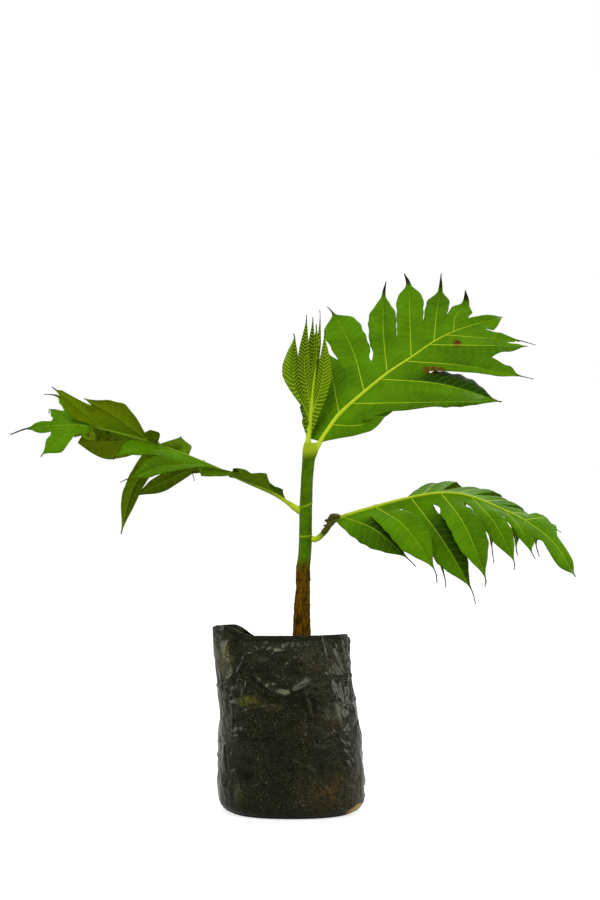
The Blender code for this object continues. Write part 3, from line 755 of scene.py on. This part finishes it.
    def build(self):
        """Lay out this half from the leaf's base to its tip."""
        end = self.leaf.end_at
        runs = [self.vein(lobe)[0].at for lobe in self.lobes]
        runs.append(lambda share: self.edge(end + share * (1 - end)))
        feet = [*(lobe.at for lobe in self.lobes), end]
        seams = [(self.edge(self.leaf.start)[None], 0, 4, 0)]
        for lobe, here, there, after in zip(self.lobes, runs, runs[1:], feet[1:]):
            foot = self.edge((lobe.at + after) / 2)
            seams.append(self.seam(here, there, foot, lobe.cut, lobe.gap))
        for lobe, before, after in zip(self.lobes, seams, seams[1:]):
            self.lobe_side(lobe, before, towards_tip=False)
            self.lobe_side(lobe, after, towards_tip=True)
        self.end_side(seams[-1])
        self.skin.smooth(self.style.smoothing)
        self.skin.raise_points()
        return self.skin


def make_leaf(leaf, style, finishes, sizes, slot):
    """A leaf: two half blades, the lobes' veins, and the stalk with its midrib."""
    top, under, rib = finishes
    veins = Skin()
    stops = np.array(leaf.rib_look)
    for side, label in ((1, "_left_half"), (-1, "_right_half")):
        half = HalfBlade(leaf, side, style)
        piece = half.build().build(leaf.name + label + "_blade", [top, under])
        thicken(piece, sizes.blade_thickness, 0, other_side=1)
        finish_piece(piece, slot, leaf.name + label)
        for at, route, tip_share in half.veins:
            shares = np.linspace(0, VEIN_STOP, VEIN_ROWS)
            thick = sizes.vein_radius / MM * leaf.vein * min(1, route.length / LONG_VEIN)
            radii = np.interp(shares, (0, tip_share, 1), (thick, POINT_RADIUS, POINT_RADIUS))
            green, brown = read(at, stops[:, 0], stops[:, 1:])
            tones = np.zeros((VEIN_ROWS, 3))
            tones[:, 0] = np.maximum(0.25 + 0.75 * passed(shares, 0, tip_share) ** 1.5, green)
            tones[:, 2] = np.maximum(ease(shares, tip_share - 0.02, tip_share + 0.05), 0.6 * brown)
            veins.tube(route.at(shares), radii, VEIN_SIDES, tones)
    finish_piece(veins.build(leaf.name + "_veins", [rib]), "midrib")
    route = Route(leaf.midrib)
    shares = np.linspace(0, VEIN_STOP, RIB_ROWS)
    tones = np.zeros((RIB_ROWS, 3))
    tones[:, ::2] = read(shares, stops[:, 0], stops[:, 1:])
    stalk = Skin()
    centres = route.at(shares)
    rooted = np.vstack([centres[:1] - STALK_ROOT * route.heading(0), centres])
    stalk.tube(rooted, rib_radius(leaf, np.append(0, shares)), RIB_SIDES, np.vstack([tones[:1], tones]))
    for at, height in leaf.withered:
        foot = route.at(at)
        turn = 400 * at
        rag = foot + np.array([[0, 0, 0], [turn % 1, -1.5, 0.5 * height], [-1, -1 + turn % 2, height]])
        stalk.tube(Route(rag).at(np.linspace(0, 1, RAG_ROWS)),
                   RAG_RADIUS + np.sin(90 * at + np.arange(RAG_ROWS)), VEIN_SIDES, (1, 0, 0.9))
    finish_piece(stalk.build(leaf.name + "_stalk", [rib]), "midrib", leaf.name + "_midrib")


# ---------------------------------------------------------------- stem

Section = namedtuple("Section", "height across radius")
STEM_SECTIONS = [
    Section(163.3, 12.6, 11.5), Section(172, 12.6, 10.2), Section(200, 13, 9.6), Section(220, 13.2, 8.8),
    Section(236, 14.2, 7.8), Section(262, 14.4, 7.7), Section(274, 16, 7.2), Section(290, 17, 7.1),
    Section(325, 17.3, 7), Section(360, 18.7, 6.6), Section(382, 20.6, 7), Section(388, 22.4, 8.8),
    Section(394, 22.6, 8.4), Section(399, 22.4, 6.4),
]
WOOD_TOP = 266
WOOD_FADE = 12
YELLOWING = (380, 391)
# Each leaf ring's height and how much it rises to the right, the bark rings' heights, and the round
# scar at the foot: across, height and radius
LEAF_RINGS = ((297.5, 0.5), (331, 2.5))
LEAF_RING_WIDTH = 0.8
LEAF_RING_RISE = 0.45
BARK_RINGS = (221, 235, 248, 263)
BARK_RING_WIDTH = 0.7
BARK_RING_RISE = 0.5
FOOT_SCAR = (11, 168, 4.5)
STEM_ROWS = 280
STEM_SIDES = 48
STEM_EASING = 17


def make_stem(finish):
    """The stem: bark with ring scars at the foot, smooth green skin with leaf rings above."""
    rows = np.linspace(STEM_SECTIONS[0].height, STEM_SECTIONS[-1].height, STEM_ROWS)
    across, radius = profile(rows, STEM_SECTIONS, STEM_EASING)
    points = np.zeros((STEM_ROWS, STEM_SIDES + 1, 3))
    tones = np.zeros((STEM_ROWS, STEM_SIDES + 1, 3))
    for row, height in enumerate(rows):
        for column, angle in enumerate(around(STEM_SIDES)):
            way = Vector((math.cos(angle), math.sin(angle), 0))
            rough = noise.noise(way * 2.2 + Vector((0, 0, height / 7)))
            fine = noise.noise(way * 7 + Vector((5, 0, height / 2.5)))
            edge = height - WOOD_TOP + 7 * noise.noise(way * 1.5 + Vector((0, 3, height / 15)))
            wood = 1 - float(ease(edge, -WOOD_FADE, WOOD_FADE))
            size = radius[row] + wood * (0.55 * rough + 0.3 * fine) + 0.12 * rough
            pale = dark = 0
            for place, tilt in LEAF_RINGS:
                near = math.exp(-((height - place - tilt * way.x - 1.5 * way.y) / LEAF_RING_WIDTH) ** 2)
                size += LEAF_RING_RISE * near
                pale = max(pale, near * (0.45 + 0.3 * fine))
            for place in BARK_RINGS:
                near = math.exp(-((height - place - 1.6 * rough) / BARK_RING_WIDTH) ** 2)
                size += BARK_RING_RISE * near * (0.5 + fine)
                dark = max(dark, 0.6 * near)
            scar = math.hypot(across[row] + size * way.x - FOOT_SCAR[0], height - FOOT_SCAR[1])
            if way.y < 0 and scar < FOOT_SCAR[2]:
                dark = max(dark, 1 - abs(scar - FOOT_SCAR[2] + 1))
            points[row, column] = (across[row] + size * way.x, size * way.y, height)
            tones[row, column] = (wood, max(pale, 0.55 * float(ease(height, *YELLOWING))), dark * wood)
    skin = Skin()
    skin.limb(points, tones, (across[0], 0, rows[0]), (across[-1], 0, rows[-1]))
    finish_piece(skin.build("stem_skin", [finish]), "stem", "stem")


# ---------------------------------------------------------------- bag and soil

BAG_SQUARENESS = 2.3
SOIL_LEVEL = 163
Ring = namedtuple("Ring", "height centre half_width half_depth")
BAG_RINGS = [
    Ring(-FOOT_DEPTH, 2, 64, 60), Ring(-2, 2, 74, 70), Ring(6, 1.6, 80.5, 75), Ring(26, 1.1, 82.5, 76),
    Ring(79, 0, 79.2, 76), Ring(105, -1.1, 77, 74), Ring(131, -5, 75.3, 69), Ring(163, -8.2, 75.3, 57),
    Ring(186, -10, 76, 46),
]
BAG_ROWS = 155
BAG_COLUMNS = 288
# The rings are read at this many heights and eased over a window of them
PROFILE_ROWS = 400
BAG_EASING = 21
# The film's foot lies a little above the underside, which its thickness reaches
FOOT_GAP = 0.6
RIM_RISE = 4.6
FLAP_FRONT_RISE = 9.5
FLAP_BACK_RISE = 6
BACK_DIP = 14
SIDE_NOTCH = 7
ARC_RADIUS = 75

# A crease of the film: its ends as across and height on the front, how far it stands out and its
# half width. The first six are the large folds, the rest the pleats by the stem.
Crease = namedtuple("Crease", "start end rise width")
CREASES = [
    Crease((36, 151), (-8, 127), 3.2, 9), Crease((-62, 130), (-46, 112), 2.6, 6),
    Crease((-46, 112), (-14, 118), 1.8, 5), Crease((21, 74), (42, 71), 2.0, 5),
    Crease((-8, 61), (29, 46), 2.0, 5), Crease((55, 187), (66, 128), 2.4, 5),
    Crease((1, 190), (7, 174), 1.5, 3), Crease((12, 190), (10, 177), 1.3, 3),
    Crease((22, 189), (16, 176), 1.4, 3), Crease((34, 188), (44, 150), 1.6, 5),
]
# Small creases strewn at random, with the least and most of their heights, lengths, rises and widths
LOOSE_CREASES = 230
LOOSE_HEIGHT = (8, 190)
LOOSE_LENGTH = (8, 42)
LOOSE_RISE = (0.4, 1.4)
LOOSE_WIDTH = (2, 6)
CREASE_SEED = 11
# How far the film crumples between its creases, how far it sits back, and the heights between which
# its flat foot gives way to its loose side
CRUMPLE = 1.3
SIT_BACK = 0.8
FOOT_TURN = (-6, 14)
# Marks on the front of the film: across, height, radius across, radius up, tan or olive, and strength.
Mark = namedtuple("Mark", "across height wide tall olive strength")
MARKS = [
    Mark(-42, 122, 27, 9, 1, 0.9), Mark(-72, 168, 17, 32, 1, 0.7), Mark(-18, 116, 16, 6, 1, 0.6),
    Mark(-60, 20, 26, 14, 1, 0.3), Mark(48, 26, 52, 34, 0, 0.13), Mark(30, 96, 34, 24, 0, 0.12),
    Mark(35, 165, 30, 20, 0, 0.14),
]
TORN_CORNER = (73, -30, -1)
TORN_SIZE = (16, 22, 9)
# Drain holes on the front, as across and height, painted near-black for the shade inside them, and
# the upright seam pressed into it
DRAIN_HOLES = [(-76, 101), (-76, 74), (20, 70), (43, 68), (58, 19)]
HOLE_RADIUS = 1.6
SEAM = -35.8
SEAM_WIDTH = 0.8
SEAM_DEPTH = 0.5


def bag_point(height, angle, inset=0):
    """A point on the smooth bag."""
    rows = np.linspace(BAG_RINGS[0].height, BAG_RINGS[-1].height, PROFILE_ROWS)
    centre, half_width, half_depth = [np.interp(height, rows, line)
                                      for line in profile(rows, BAG_RINGS, BAG_EASING)]
    across, back = [np.sign(part) * np.abs(part) ** (2 / BAG_SQUARENESS)
                    for part in (np.cos(angle), np.sin(angle))]
    return np.stack([centre + across * (half_width - inset), back * (half_depth - inset),
                     height + 0 * across], axis=-1)


def front_angle(across, height):
    """The angle at which the front of the bag passes a place across it."""
    left, right = bag_point(height, math.pi)[0], bag_point(height, 0.0)[0]
    share = np.clip((2 * across - left - right) / (right - left), -1, 1)
    return 2 * math.pi - math.acos(np.sign(share) * abs(share) ** (BAG_SQUARENESS / 2))


def rim_height(angle):
    """The uneven rim: a flap that stands up on the left, a dip at the back and a notch on the right."""
    degrees = math.degrees(angle)
    flap = FLAP_BACK_RISE * (1 - float(ease(abs(degrees - 180), 46, 70)))
    flap += (FLAP_FRONT_RISE - FLAP_BACK_RISE) * float(ease(degrees, 185, 205) - ease(degrees, 222, 238))
    dip = float(ease(degrees, 4, 35)) * (1 - float(ease(degrees, 95, 128)))
    notch = math.exp(-((min(degrees, 360 - degrees) - 4) / 9) ** 2)
    return RIM_RISE + flap - BACK_DIP * dip - SIDE_NOTCH * notch


def crease_rise(arc, height):
    """How far all the creases push the film out at places given as arc length and height."""
    rng = np.random.default_rng(CREASE_SEED)
    turn = 2 * math.pi * ARC_RADIUS
    folds = [Crease((front_angle(*fold.start) * ARC_RADIUS, fold.start[1]),
                    (front_angle(*fold.end) * ARC_RADIUS, fold.end[1]), fold.rise, fold.width)
             for fold in CREASES]
    for _ in range(LOOSE_CREASES):
        start = np.array([rng.uniform(0, turn), rng.uniform(*LOOSE_HEIGHT)])
        lean = rng.normal(0.1, 0.7) + (math.pi / 2 if rng.random() < 0.4 else 0)
        end = start + rng.uniform(*LOOSE_LENGTH) * np.array([math.cos(lean), math.sin(lean)])
        rise = rng.uniform(*LOOSE_RISE) * rng.choice((1, 1, -1))
        folds.append(Crease(start, end, rise, rng.uniform(*LOOSE_WIDTH)))
    total = np.zeros(height.shape)
    for fold in folds:
        start, run = np.array(fold.start), np.array(fold.end) - fold.start
        across = (arc - start[0] + turn / 2) % turn - turn / 2
        share = np.clip((across * run[0] + (height - start[1]) * run[1]) / (run @ run), 0, 1)
        away = np.hypot(across - share * run[0], height - start[1] - share * run[1])
        total += fold.rise * (1 - ease(share, 0.5, 1) * 0.7) * np.maximum(1 - away / fold.width, 0) ** 1.6
    return total


def make_bag(finish, sizes):
    """The grow bag: a creased, dusty film with a loose collar above the soil."""
    angles = around(BAG_COLUMNS)
    low, high = BAG_RINGS[0].height, BAG_RINGS[-1].height
    tops = high + np.array([rim_height(angle) for angle in angles])
    foot = low + FOOT_GAP
    rows = foot + (tops - foot) * np.linspace(0, 1, BAG_ROWS)[:, None]
    points = np.stack([bag_point(np.minimum(rows[:, column], high), angle)
                       for column, angle in enumerate(angles)], axis=1)
    points[..., 2] = rows
    settled = ease(rows, *FOOT_TURN)
    crumple = np.zeros(rows.shape)
    for row in range(BAG_ROWS):
        for column in range(BAG_COLUMNS + 1):
            here = Vector(points[row, column])
            crumple[row, column] = (noise.noise(here / 30) + 0.5 * noise.noise(here / 12)
                                    - 0.9 * abs(noise.noise(Vector((here.x / 15, here.y / 15, here.z / 24)))))
    push = settled * (CRUMPLE * crumple + crease_rise(angles * ARC_RADIUS, rows) - SIT_BACK)
    front = points[..., 1] < 0
    seam = np.exp(-((points[..., 0] - SEAM) / SEAM_WIDTH) ** 2)
    push -= SEAM_DEPTH * seam * ease(rows, 20, 35) * front
    points += unit(points * (1, 1, 0)) * push[..., None]
    tones = np.zeros(points.shape)
    for mark in MARKS:
        away = np.hypot((points[..., 0] - mark.across) / mark.wide,
                        (points[..., 2] - mark.height) / mark.tall)
        cover = mark.strength * (1 - ease(away, 0, 1)) * (1 + 1.2 * crumple)
        tones[..., mark.olive] = np.maximum(tones[..., mark.olive], cover * front)
    torn = np.linalg.norm((points - TORN_CORNER) / TORN_SIZE, axis=-1) + 0.3 * crumple
    tones[..., 0] = np.maximum(tones[..., 0], 1 - ease(torn, 0.9, 1))
    # painted shade: each drain hole is painted near-black for the shade inside it
    for across, height in DRAIN_HOLES:
        away = np.hypot(points[..., 0] - across, points[..., 2] - height) / HOLE_RADIUS
        tones[..., 2] = np.maximum(tones[..., 2], (1 - ease(away, 0.7, 1.4)) * front)
    skin = Skin()
    skin.limb(points, tones, (BAG_RINGS[0].centre, 0, foot))
    piece = skin.build("grow_bag_film", [finish])
    thicken(piece, sizes.film_thickness, -1)
    finish_piece(piece, "polythene", "grow_bag")


SOIL_INSET = 3
SOIL_HEIGHTS = (0, 30, 60, 95, 131, 160)
SOIL_RINGS = 40
SOIL_COLUMNS = 96
CRUMBS = 252
CRUMB_FACES = 20
# The crumbs lie within this share of the soil's radius, and most are nearer the least of two radii
CRUMB_SPREAD = 0.93
CRUMB_RADII = (0.8, 2.7)
CRUMB_SEED = 7


def make_soil(finish, crumb_finish):
    """The soil's rough top with loose crumbs, on a plain body inside the bag."""
    angles = around(SOIL_COLUMNS)
    *rows, rim = [bag_point(np.full_like(angles, height), angles, SOIL_INSET)
                  for height in (*SOIL_HEIGHTS, SOIL_LEVEL)]
    centre = np.array([rim[:, 0].mean(), 0, SOIL_LEVEL])
    for share in np.linspace(1, 0, SOIL_RINGS):
        ring = centre + (rim - centre) * share
        for place in ring:
            place[2] += 1.6 * noise.noise(Vector(place) / 14) + 1.1 * noise.noise(Vector(place) / 4)
        rows.append(ring)
    skin = Skin()
    skin.limb(np.array(rows), (0, 0, 0), (BAG_RINGS[0].centre, 0, 0))
    finish_piece(skin.build("potting_soil_bed", [finish]), "soil", "potting_soil")
    rng = np.random.default_rng(CRUMB_SEED)
    crumbs = Skin()
    while len(crumbs.faces) < CRUMBS * CRUMB_FACES:
        share = math.sqrt(rng.random()) * CRUMB_SPREAD
        angle = rng.random() * 2 * math.pi
        place = centre + (bag_point(SOIL_LEVEL, angle, SOIL_INSET) - centre) * share
        size = CRUMB_RADII[0] + (CRUMB_RADII[1] - CRUMB_RADII[0]) * rng.random() ** 2
        if math.hypot(place[0] - STEM_SECTIONS[0].across, place[1]) < STEM_SECTIONS[0].radius + size:
            continue
        squash = 0.5 + 0.4 * rng.random(3)
        centres = np.array([place + (0, 0, size * step * squash[2]) for step in (-0.8, -0.2, 0.4, 0.9)])
        centres[:, :2] += rng.normal(0, 0.15 * size, (4, 2))
        radii = size * np.array([0.45, 0.95, 0.9, 0.35]) * squash[0]
        crumbs.tube(centres, radii, 4, (0, 0, 0))
    finish_piece(crumbs.build("soil_crumbs", [crumb_finish], smooth_shading=False), "soil")


# ---------------------------------------------------------------- stage

CAMERA_PLACE = (0.011, -2.4, 0.396)
PICTURE_HEIGHT_AT_STEM = 0.99
SENSOR = 36
ROOM_LOW = 0.18
ROOM_HIGH = 0.8
FLOOR_GLOW = 0.7
WHITE = (1, 1, 1, 1)


def make_stage():
    """White floor and surroundings, soft lamps and the camera."""
    made, shader, add = new_material("white studio floor")
    glow = add("Math", {0: add("LightPath").outputs["Is Camera Ray"], 1: FLOOR_GLOW}, operation="MULTIPLY")
    fill(shader, {"Base Color": linear("#c4c4c2"), "Roughness": 1, "Specular IOR Level": 0,
                  "Emission Color": WHITE, "Emission Strength": glow})
    size = 6
    mesh = bpy.data.meshes.new("studio_floor")
    mesh.from_pydata([(-size, -size, 0), (size, -size, 0), (size, size, 0), (-size, size, 0)], [],
                     [(0, 1, 2, 3)])
    mesh.materials.append(made)
    new_object("studio_floor", mesh)
    world = bpy.data.worlds.new("white studio")
    world.use_nodes = True
    add = partial(node, world.node_tree)
    # the eye sees a white room, while the plant is lit by a ceiling over dim walls, so that the dark
    # film stays dark
    way = add("SeparateXYZ", {0: add("TexCoord").outputs["Generated"]})
    room = add("MapRange", {0: way.outputs["Z"], 2: 0.7, 3: ROOM_LOW, 4: ROOM_HIGH})
    glow = add("MapRange", {0: add("LightPath").outputs["Is Camera Ray"], 3: room})
    fill(world.node_tree.nodes["Background"], {"Strength": glow, "Color": WHITE})
    bpy.context.scene.world = world
    for name, place, aim, width, power in (
            ("key", (-0.6, -1.8, 2.4), (0, 0, 0.35), 1.2, 36),
            ("glint", (-0.3, -1.1, 2.1), (0, 0, 0.15), 0.6, 10),
            ("fill", (1.9, -1.6, 1.0), (0, 0, 0.3), 1.6, 10),
            ("left side", (-2.0, 0.3, 0.7), (0, 0, 0.15), 0.9, 11),
            ("right side", (2.0, 0.3, 0.7), (0, 0, 0.15), 0.9, 11),
            ("rim", (0.8, 2.0, 1.8), (0, 0, 0.4), 1.2, 16)):
        lamp = bpy.data.lights.new(name, "AREA")
        lamp.energy = power
        lamp.size = width
        holder = new_object(name, lamp)
        holder.location = place
        # the key lamp lights the leaves without a sheen on the bag, the glint lamp only draws its creases
        holder.visible_glossy = name != "key"
        holder.visible_diffuse = name != "glint"
        holder.rotation_euler = (Vector(aim) - Vector(place)).to_track_quat("-Z", "Y").to_euler()
    eye = bpy.data.cameras.new("camera")
    eye.sensor_fit = "VERTICAL"
    eye.sensor_height = SENSOR
    eye.lens = SENSOR * -CAMERA_PLACE[1] / PICTURE_HEIGHT_AT_STEM
    holder = new_object("camera", eye)
    holder.location = CAMERA_PLACE
    holder.rotation_euler = (math.pi / 2, 0, 0)
    bpy.context.scene.camera = holder
    bpy.context.scene.view_settings.view_transform = "Standard"


# ---------------------------------------------------------------- add-on

class SaplingSizes(bpy.types.PropertyGroup):
    """Sizes that can be changed before the pieces are made."""

    blade_thickness: bpy.props.FloatProperty(
        name="Blade thickness", description="Thickness of a leaf blade", default=0.5 * MM,
        min=0.1 * MM, unit="LENGTH")
    vein_radius: bpy.props.FloatProperty(
        name="Vein radius", description="Radius of a long lobe's vein where it leaves the midrib",
        default=1.0 * MM, min=0.1 * MM, unit="LENGTH")
    film_thickness: bpy.props.FloatProperty(
        name="Film thickness", description="Thickness of the bag's film", default=0.5 * MM,
        min=0.05 * MM, unit="LENGTH")


def colour_property(name, description, code):
    """A colour that can be changed, from its sRGB hex value."""
    return bpy.props.FloatVectorProperty(name=name, description=description, subtype="COLOR", size=4,
                                         min=0, max=1, default=linear(code))


class SaplingColours(bpy.types.PropertyGroup):
    """Colours that can be changed before the pieces are made."""

    leaf: colour_property("Leaf", "Upper side of a grown leaf", "#508000")
    # painted shade: the dark green laid on the leaves where lobes shadow one another and where they turn from
    # the light
    painted_leaf_shade: colour_property("Leaf shade", "Darkest green of the leaves", "#1a3500")
    underside: colour_property("Underside", "Underside of a grown leaf", "#547000")
    olive: colour_property("Olive", "Olive tissue seen against the light", "#627800")
    side_vein: colour_property("Side veins", "Fine veins of a grown leaf", "#86b020")
    rib: colour_property("Midrib", "Midrib and lobe veins", "#bccf22")
    rib_tip: colour_property("Midrib tip", "Green towards the end of a midrib", "#6f9a08")
    young_leaf: colour_property("Young leaf", "Skin of the folded young leaf", "#527200")
    young_vein: colour_property("Young veins", "Ladder of veins on the young leaf", "#a4c422")
    stem: colour_property("Stem", "Green skin of the stem", "#4a7000")
    bark: colour_property("Bark", "Woody foot of the stem", "#6c4c04")
    film: colour_property("Film", "Polythene of the grow bag", "#090a04")
    soil: colour_property("Soil", "Moist potting mix", "#1c120a")
    crumb: colour_property("Crumbs", "Dry crumbs on the soil", "#5e4830")


class SAPLING_OT_leaves(bpy.types.Operator):
    """Make the three open leaves"""

    bl_idname = "sapling.leaves"
    bl_label = "Open Leaves"

    def execute(self, context):
        colours = context.scene.sapling_colours
        dry = linear("#26220c")
        top = blade_material("waxy upper leaf skin", (colours.leaf, colours.painted_leaf_shade, colours.olive,
                                                      colours.side_vein, dry), 0.5, 0.2, MATURE, 0.6)
        under = blade_material("matt leaf underside", (colours.underside, colours.painted_leaf_shade, colours.olive,
                                                       colours.side_vein, dry), 0.6, 0.3, MATURE, 0.8)
        rib = rib_material("pale leaf vein", (colours.rib, colours.rib_tip, linear("#3f3208")), 0.45)
        for leaf in (UPPER_RIGHT, LOWER_RIGHT, LEFT):
            make_leaf(leaf, MATURE, (top, under, rib), context.scene.sapling_sizes, "leaf")
        return {"FINISHED"}


class SAPLING_OT_young_leaf(bpy.types.Operator):
    """Make the folded young leaf at the top"""

    bl_idname = "sapling.young_leaf"
    bl_label = "Young Leaf"

    def execute(self, context):
        colours = context.scene.sapling_colours
        dry = linear("#4a3c10")
        top = blade_material("young leaf skin", (colours.young_leaf, colours.painted_leaf_shade, colours.olive,
                                                 colours.young_vein, dry), 0.5, 1, FOLDED, 0.4)
        rib = rib_material("young leaf rib", (colours.rib, colours.young_vein, dry), 0.5)
        make_leaf(YOUNG, FOLDED, (top, top, rib), context.scene.sapling_sizes, "young_leaf")
        return {"FINISHED"}


class SAPLING_OT_stem(bpy.types.Operator):
    """Make the stem"""

    bl_idname = "sapling.stem"
    bl_label = "Stem"

    def execute(self, context):
        colours = context.scene.sapling_colours
        make_stem(stem_material(colours.stem, colours.bark, colours.rib))
        return {"FINISHED"}


class SAPLING_OT_bag(bpy.types.Operator):
    """Make the grow bag"""

    bl_idname = "sapling.bag"
    bl_label = "Grow Bag"

    def execute(self, context):
        make_bag(film_material(context.scene.sapling_colours.film), context.scene.sapling_sizes)
        return {"FINISHED"}


class SAPLING_OT_soil(bpy.types.Operator):
    """Make the soil and its crumbs"""

    bl_idname = "sapling.soil"
    bl_label = "Soil"

    def execute(self, context):
        colours = context.scene.sapling_colours
        make_soil(soil_material("moist potting mix", colours.soil, deeper(colours.crumb, 0.5)),
                  soil_material("dry soil crumbs", colours.soil, colours.crumb))
        return {"FINISHED"}


class SAPLING_OT_stage(bpy.types.Operator):
    """Make the floor, the lamps and the camera"""

    bl_idname = "sapling.stage"
    bl_label = "Stage"

    def execute(self, context):
        make_stage()
        return {"FINISHED"}


OPERATORS = (SAPLING_OT_leaves, SAPLING_OT_young_leaf, SAPLING_OT_stem, SAPLING_OT_bag, SAPLING_OT_soil,
             SAPLING_OT_stage)


class SAPLING_PT_panel(bpy.types.Panel):
    """Lists the sapling's pieces in the sidebar"""

    bl_label = "Sapling"
    bl_space_type = "VIEW_3D"
    bl_region_type = "UI"
    bl_category = "Sapling"

    def draw(self, context):
        for group in (context.scene.sapling_sizes, context.scene.sapling_colours):
            for name in group.__annotations__:
                self.layout.prop(group, name)
        for operator in OPERATORS:
            self.layout.operator(operator.bl_idname)


CLASSES = (SaplingSizes, SaplingColours, *OPERATORS, SAPLING_PT_panel)


def register():
    """Register the classes and the scene's settings."""
    for item in CLASSES:
        bpy.utils.register_class(item)
    bpy.types.Scene.sapling_sizes = bpy.props.PointerProperty(type=SaplingSizes)
    bpy.types.Scene.sapling_colours = bpy.props.PointerProperty(type=SaplingColours)


def unregister():
    """Take the classes and the scene's settings away again."""
    del bpy.types.Scene.sapling_sizes
    del bpy.types.Scene.sapling_colours
    for item in reversed(CLASSES):
        bpy.utils.unregister_class(item)


def main():
    """Make every piece and the stage."""
    register()
    bpy.ops.sapling.leaves()
    bpy.ops.sapling.young_leaf()
    bpy.ops.sapling.stem()
    bpy.ops.sapling.bag()
    bpy.ops.sapling.soil()
    bpy.ops.sapling.stage()


if __name__ == "__main__":
    main()
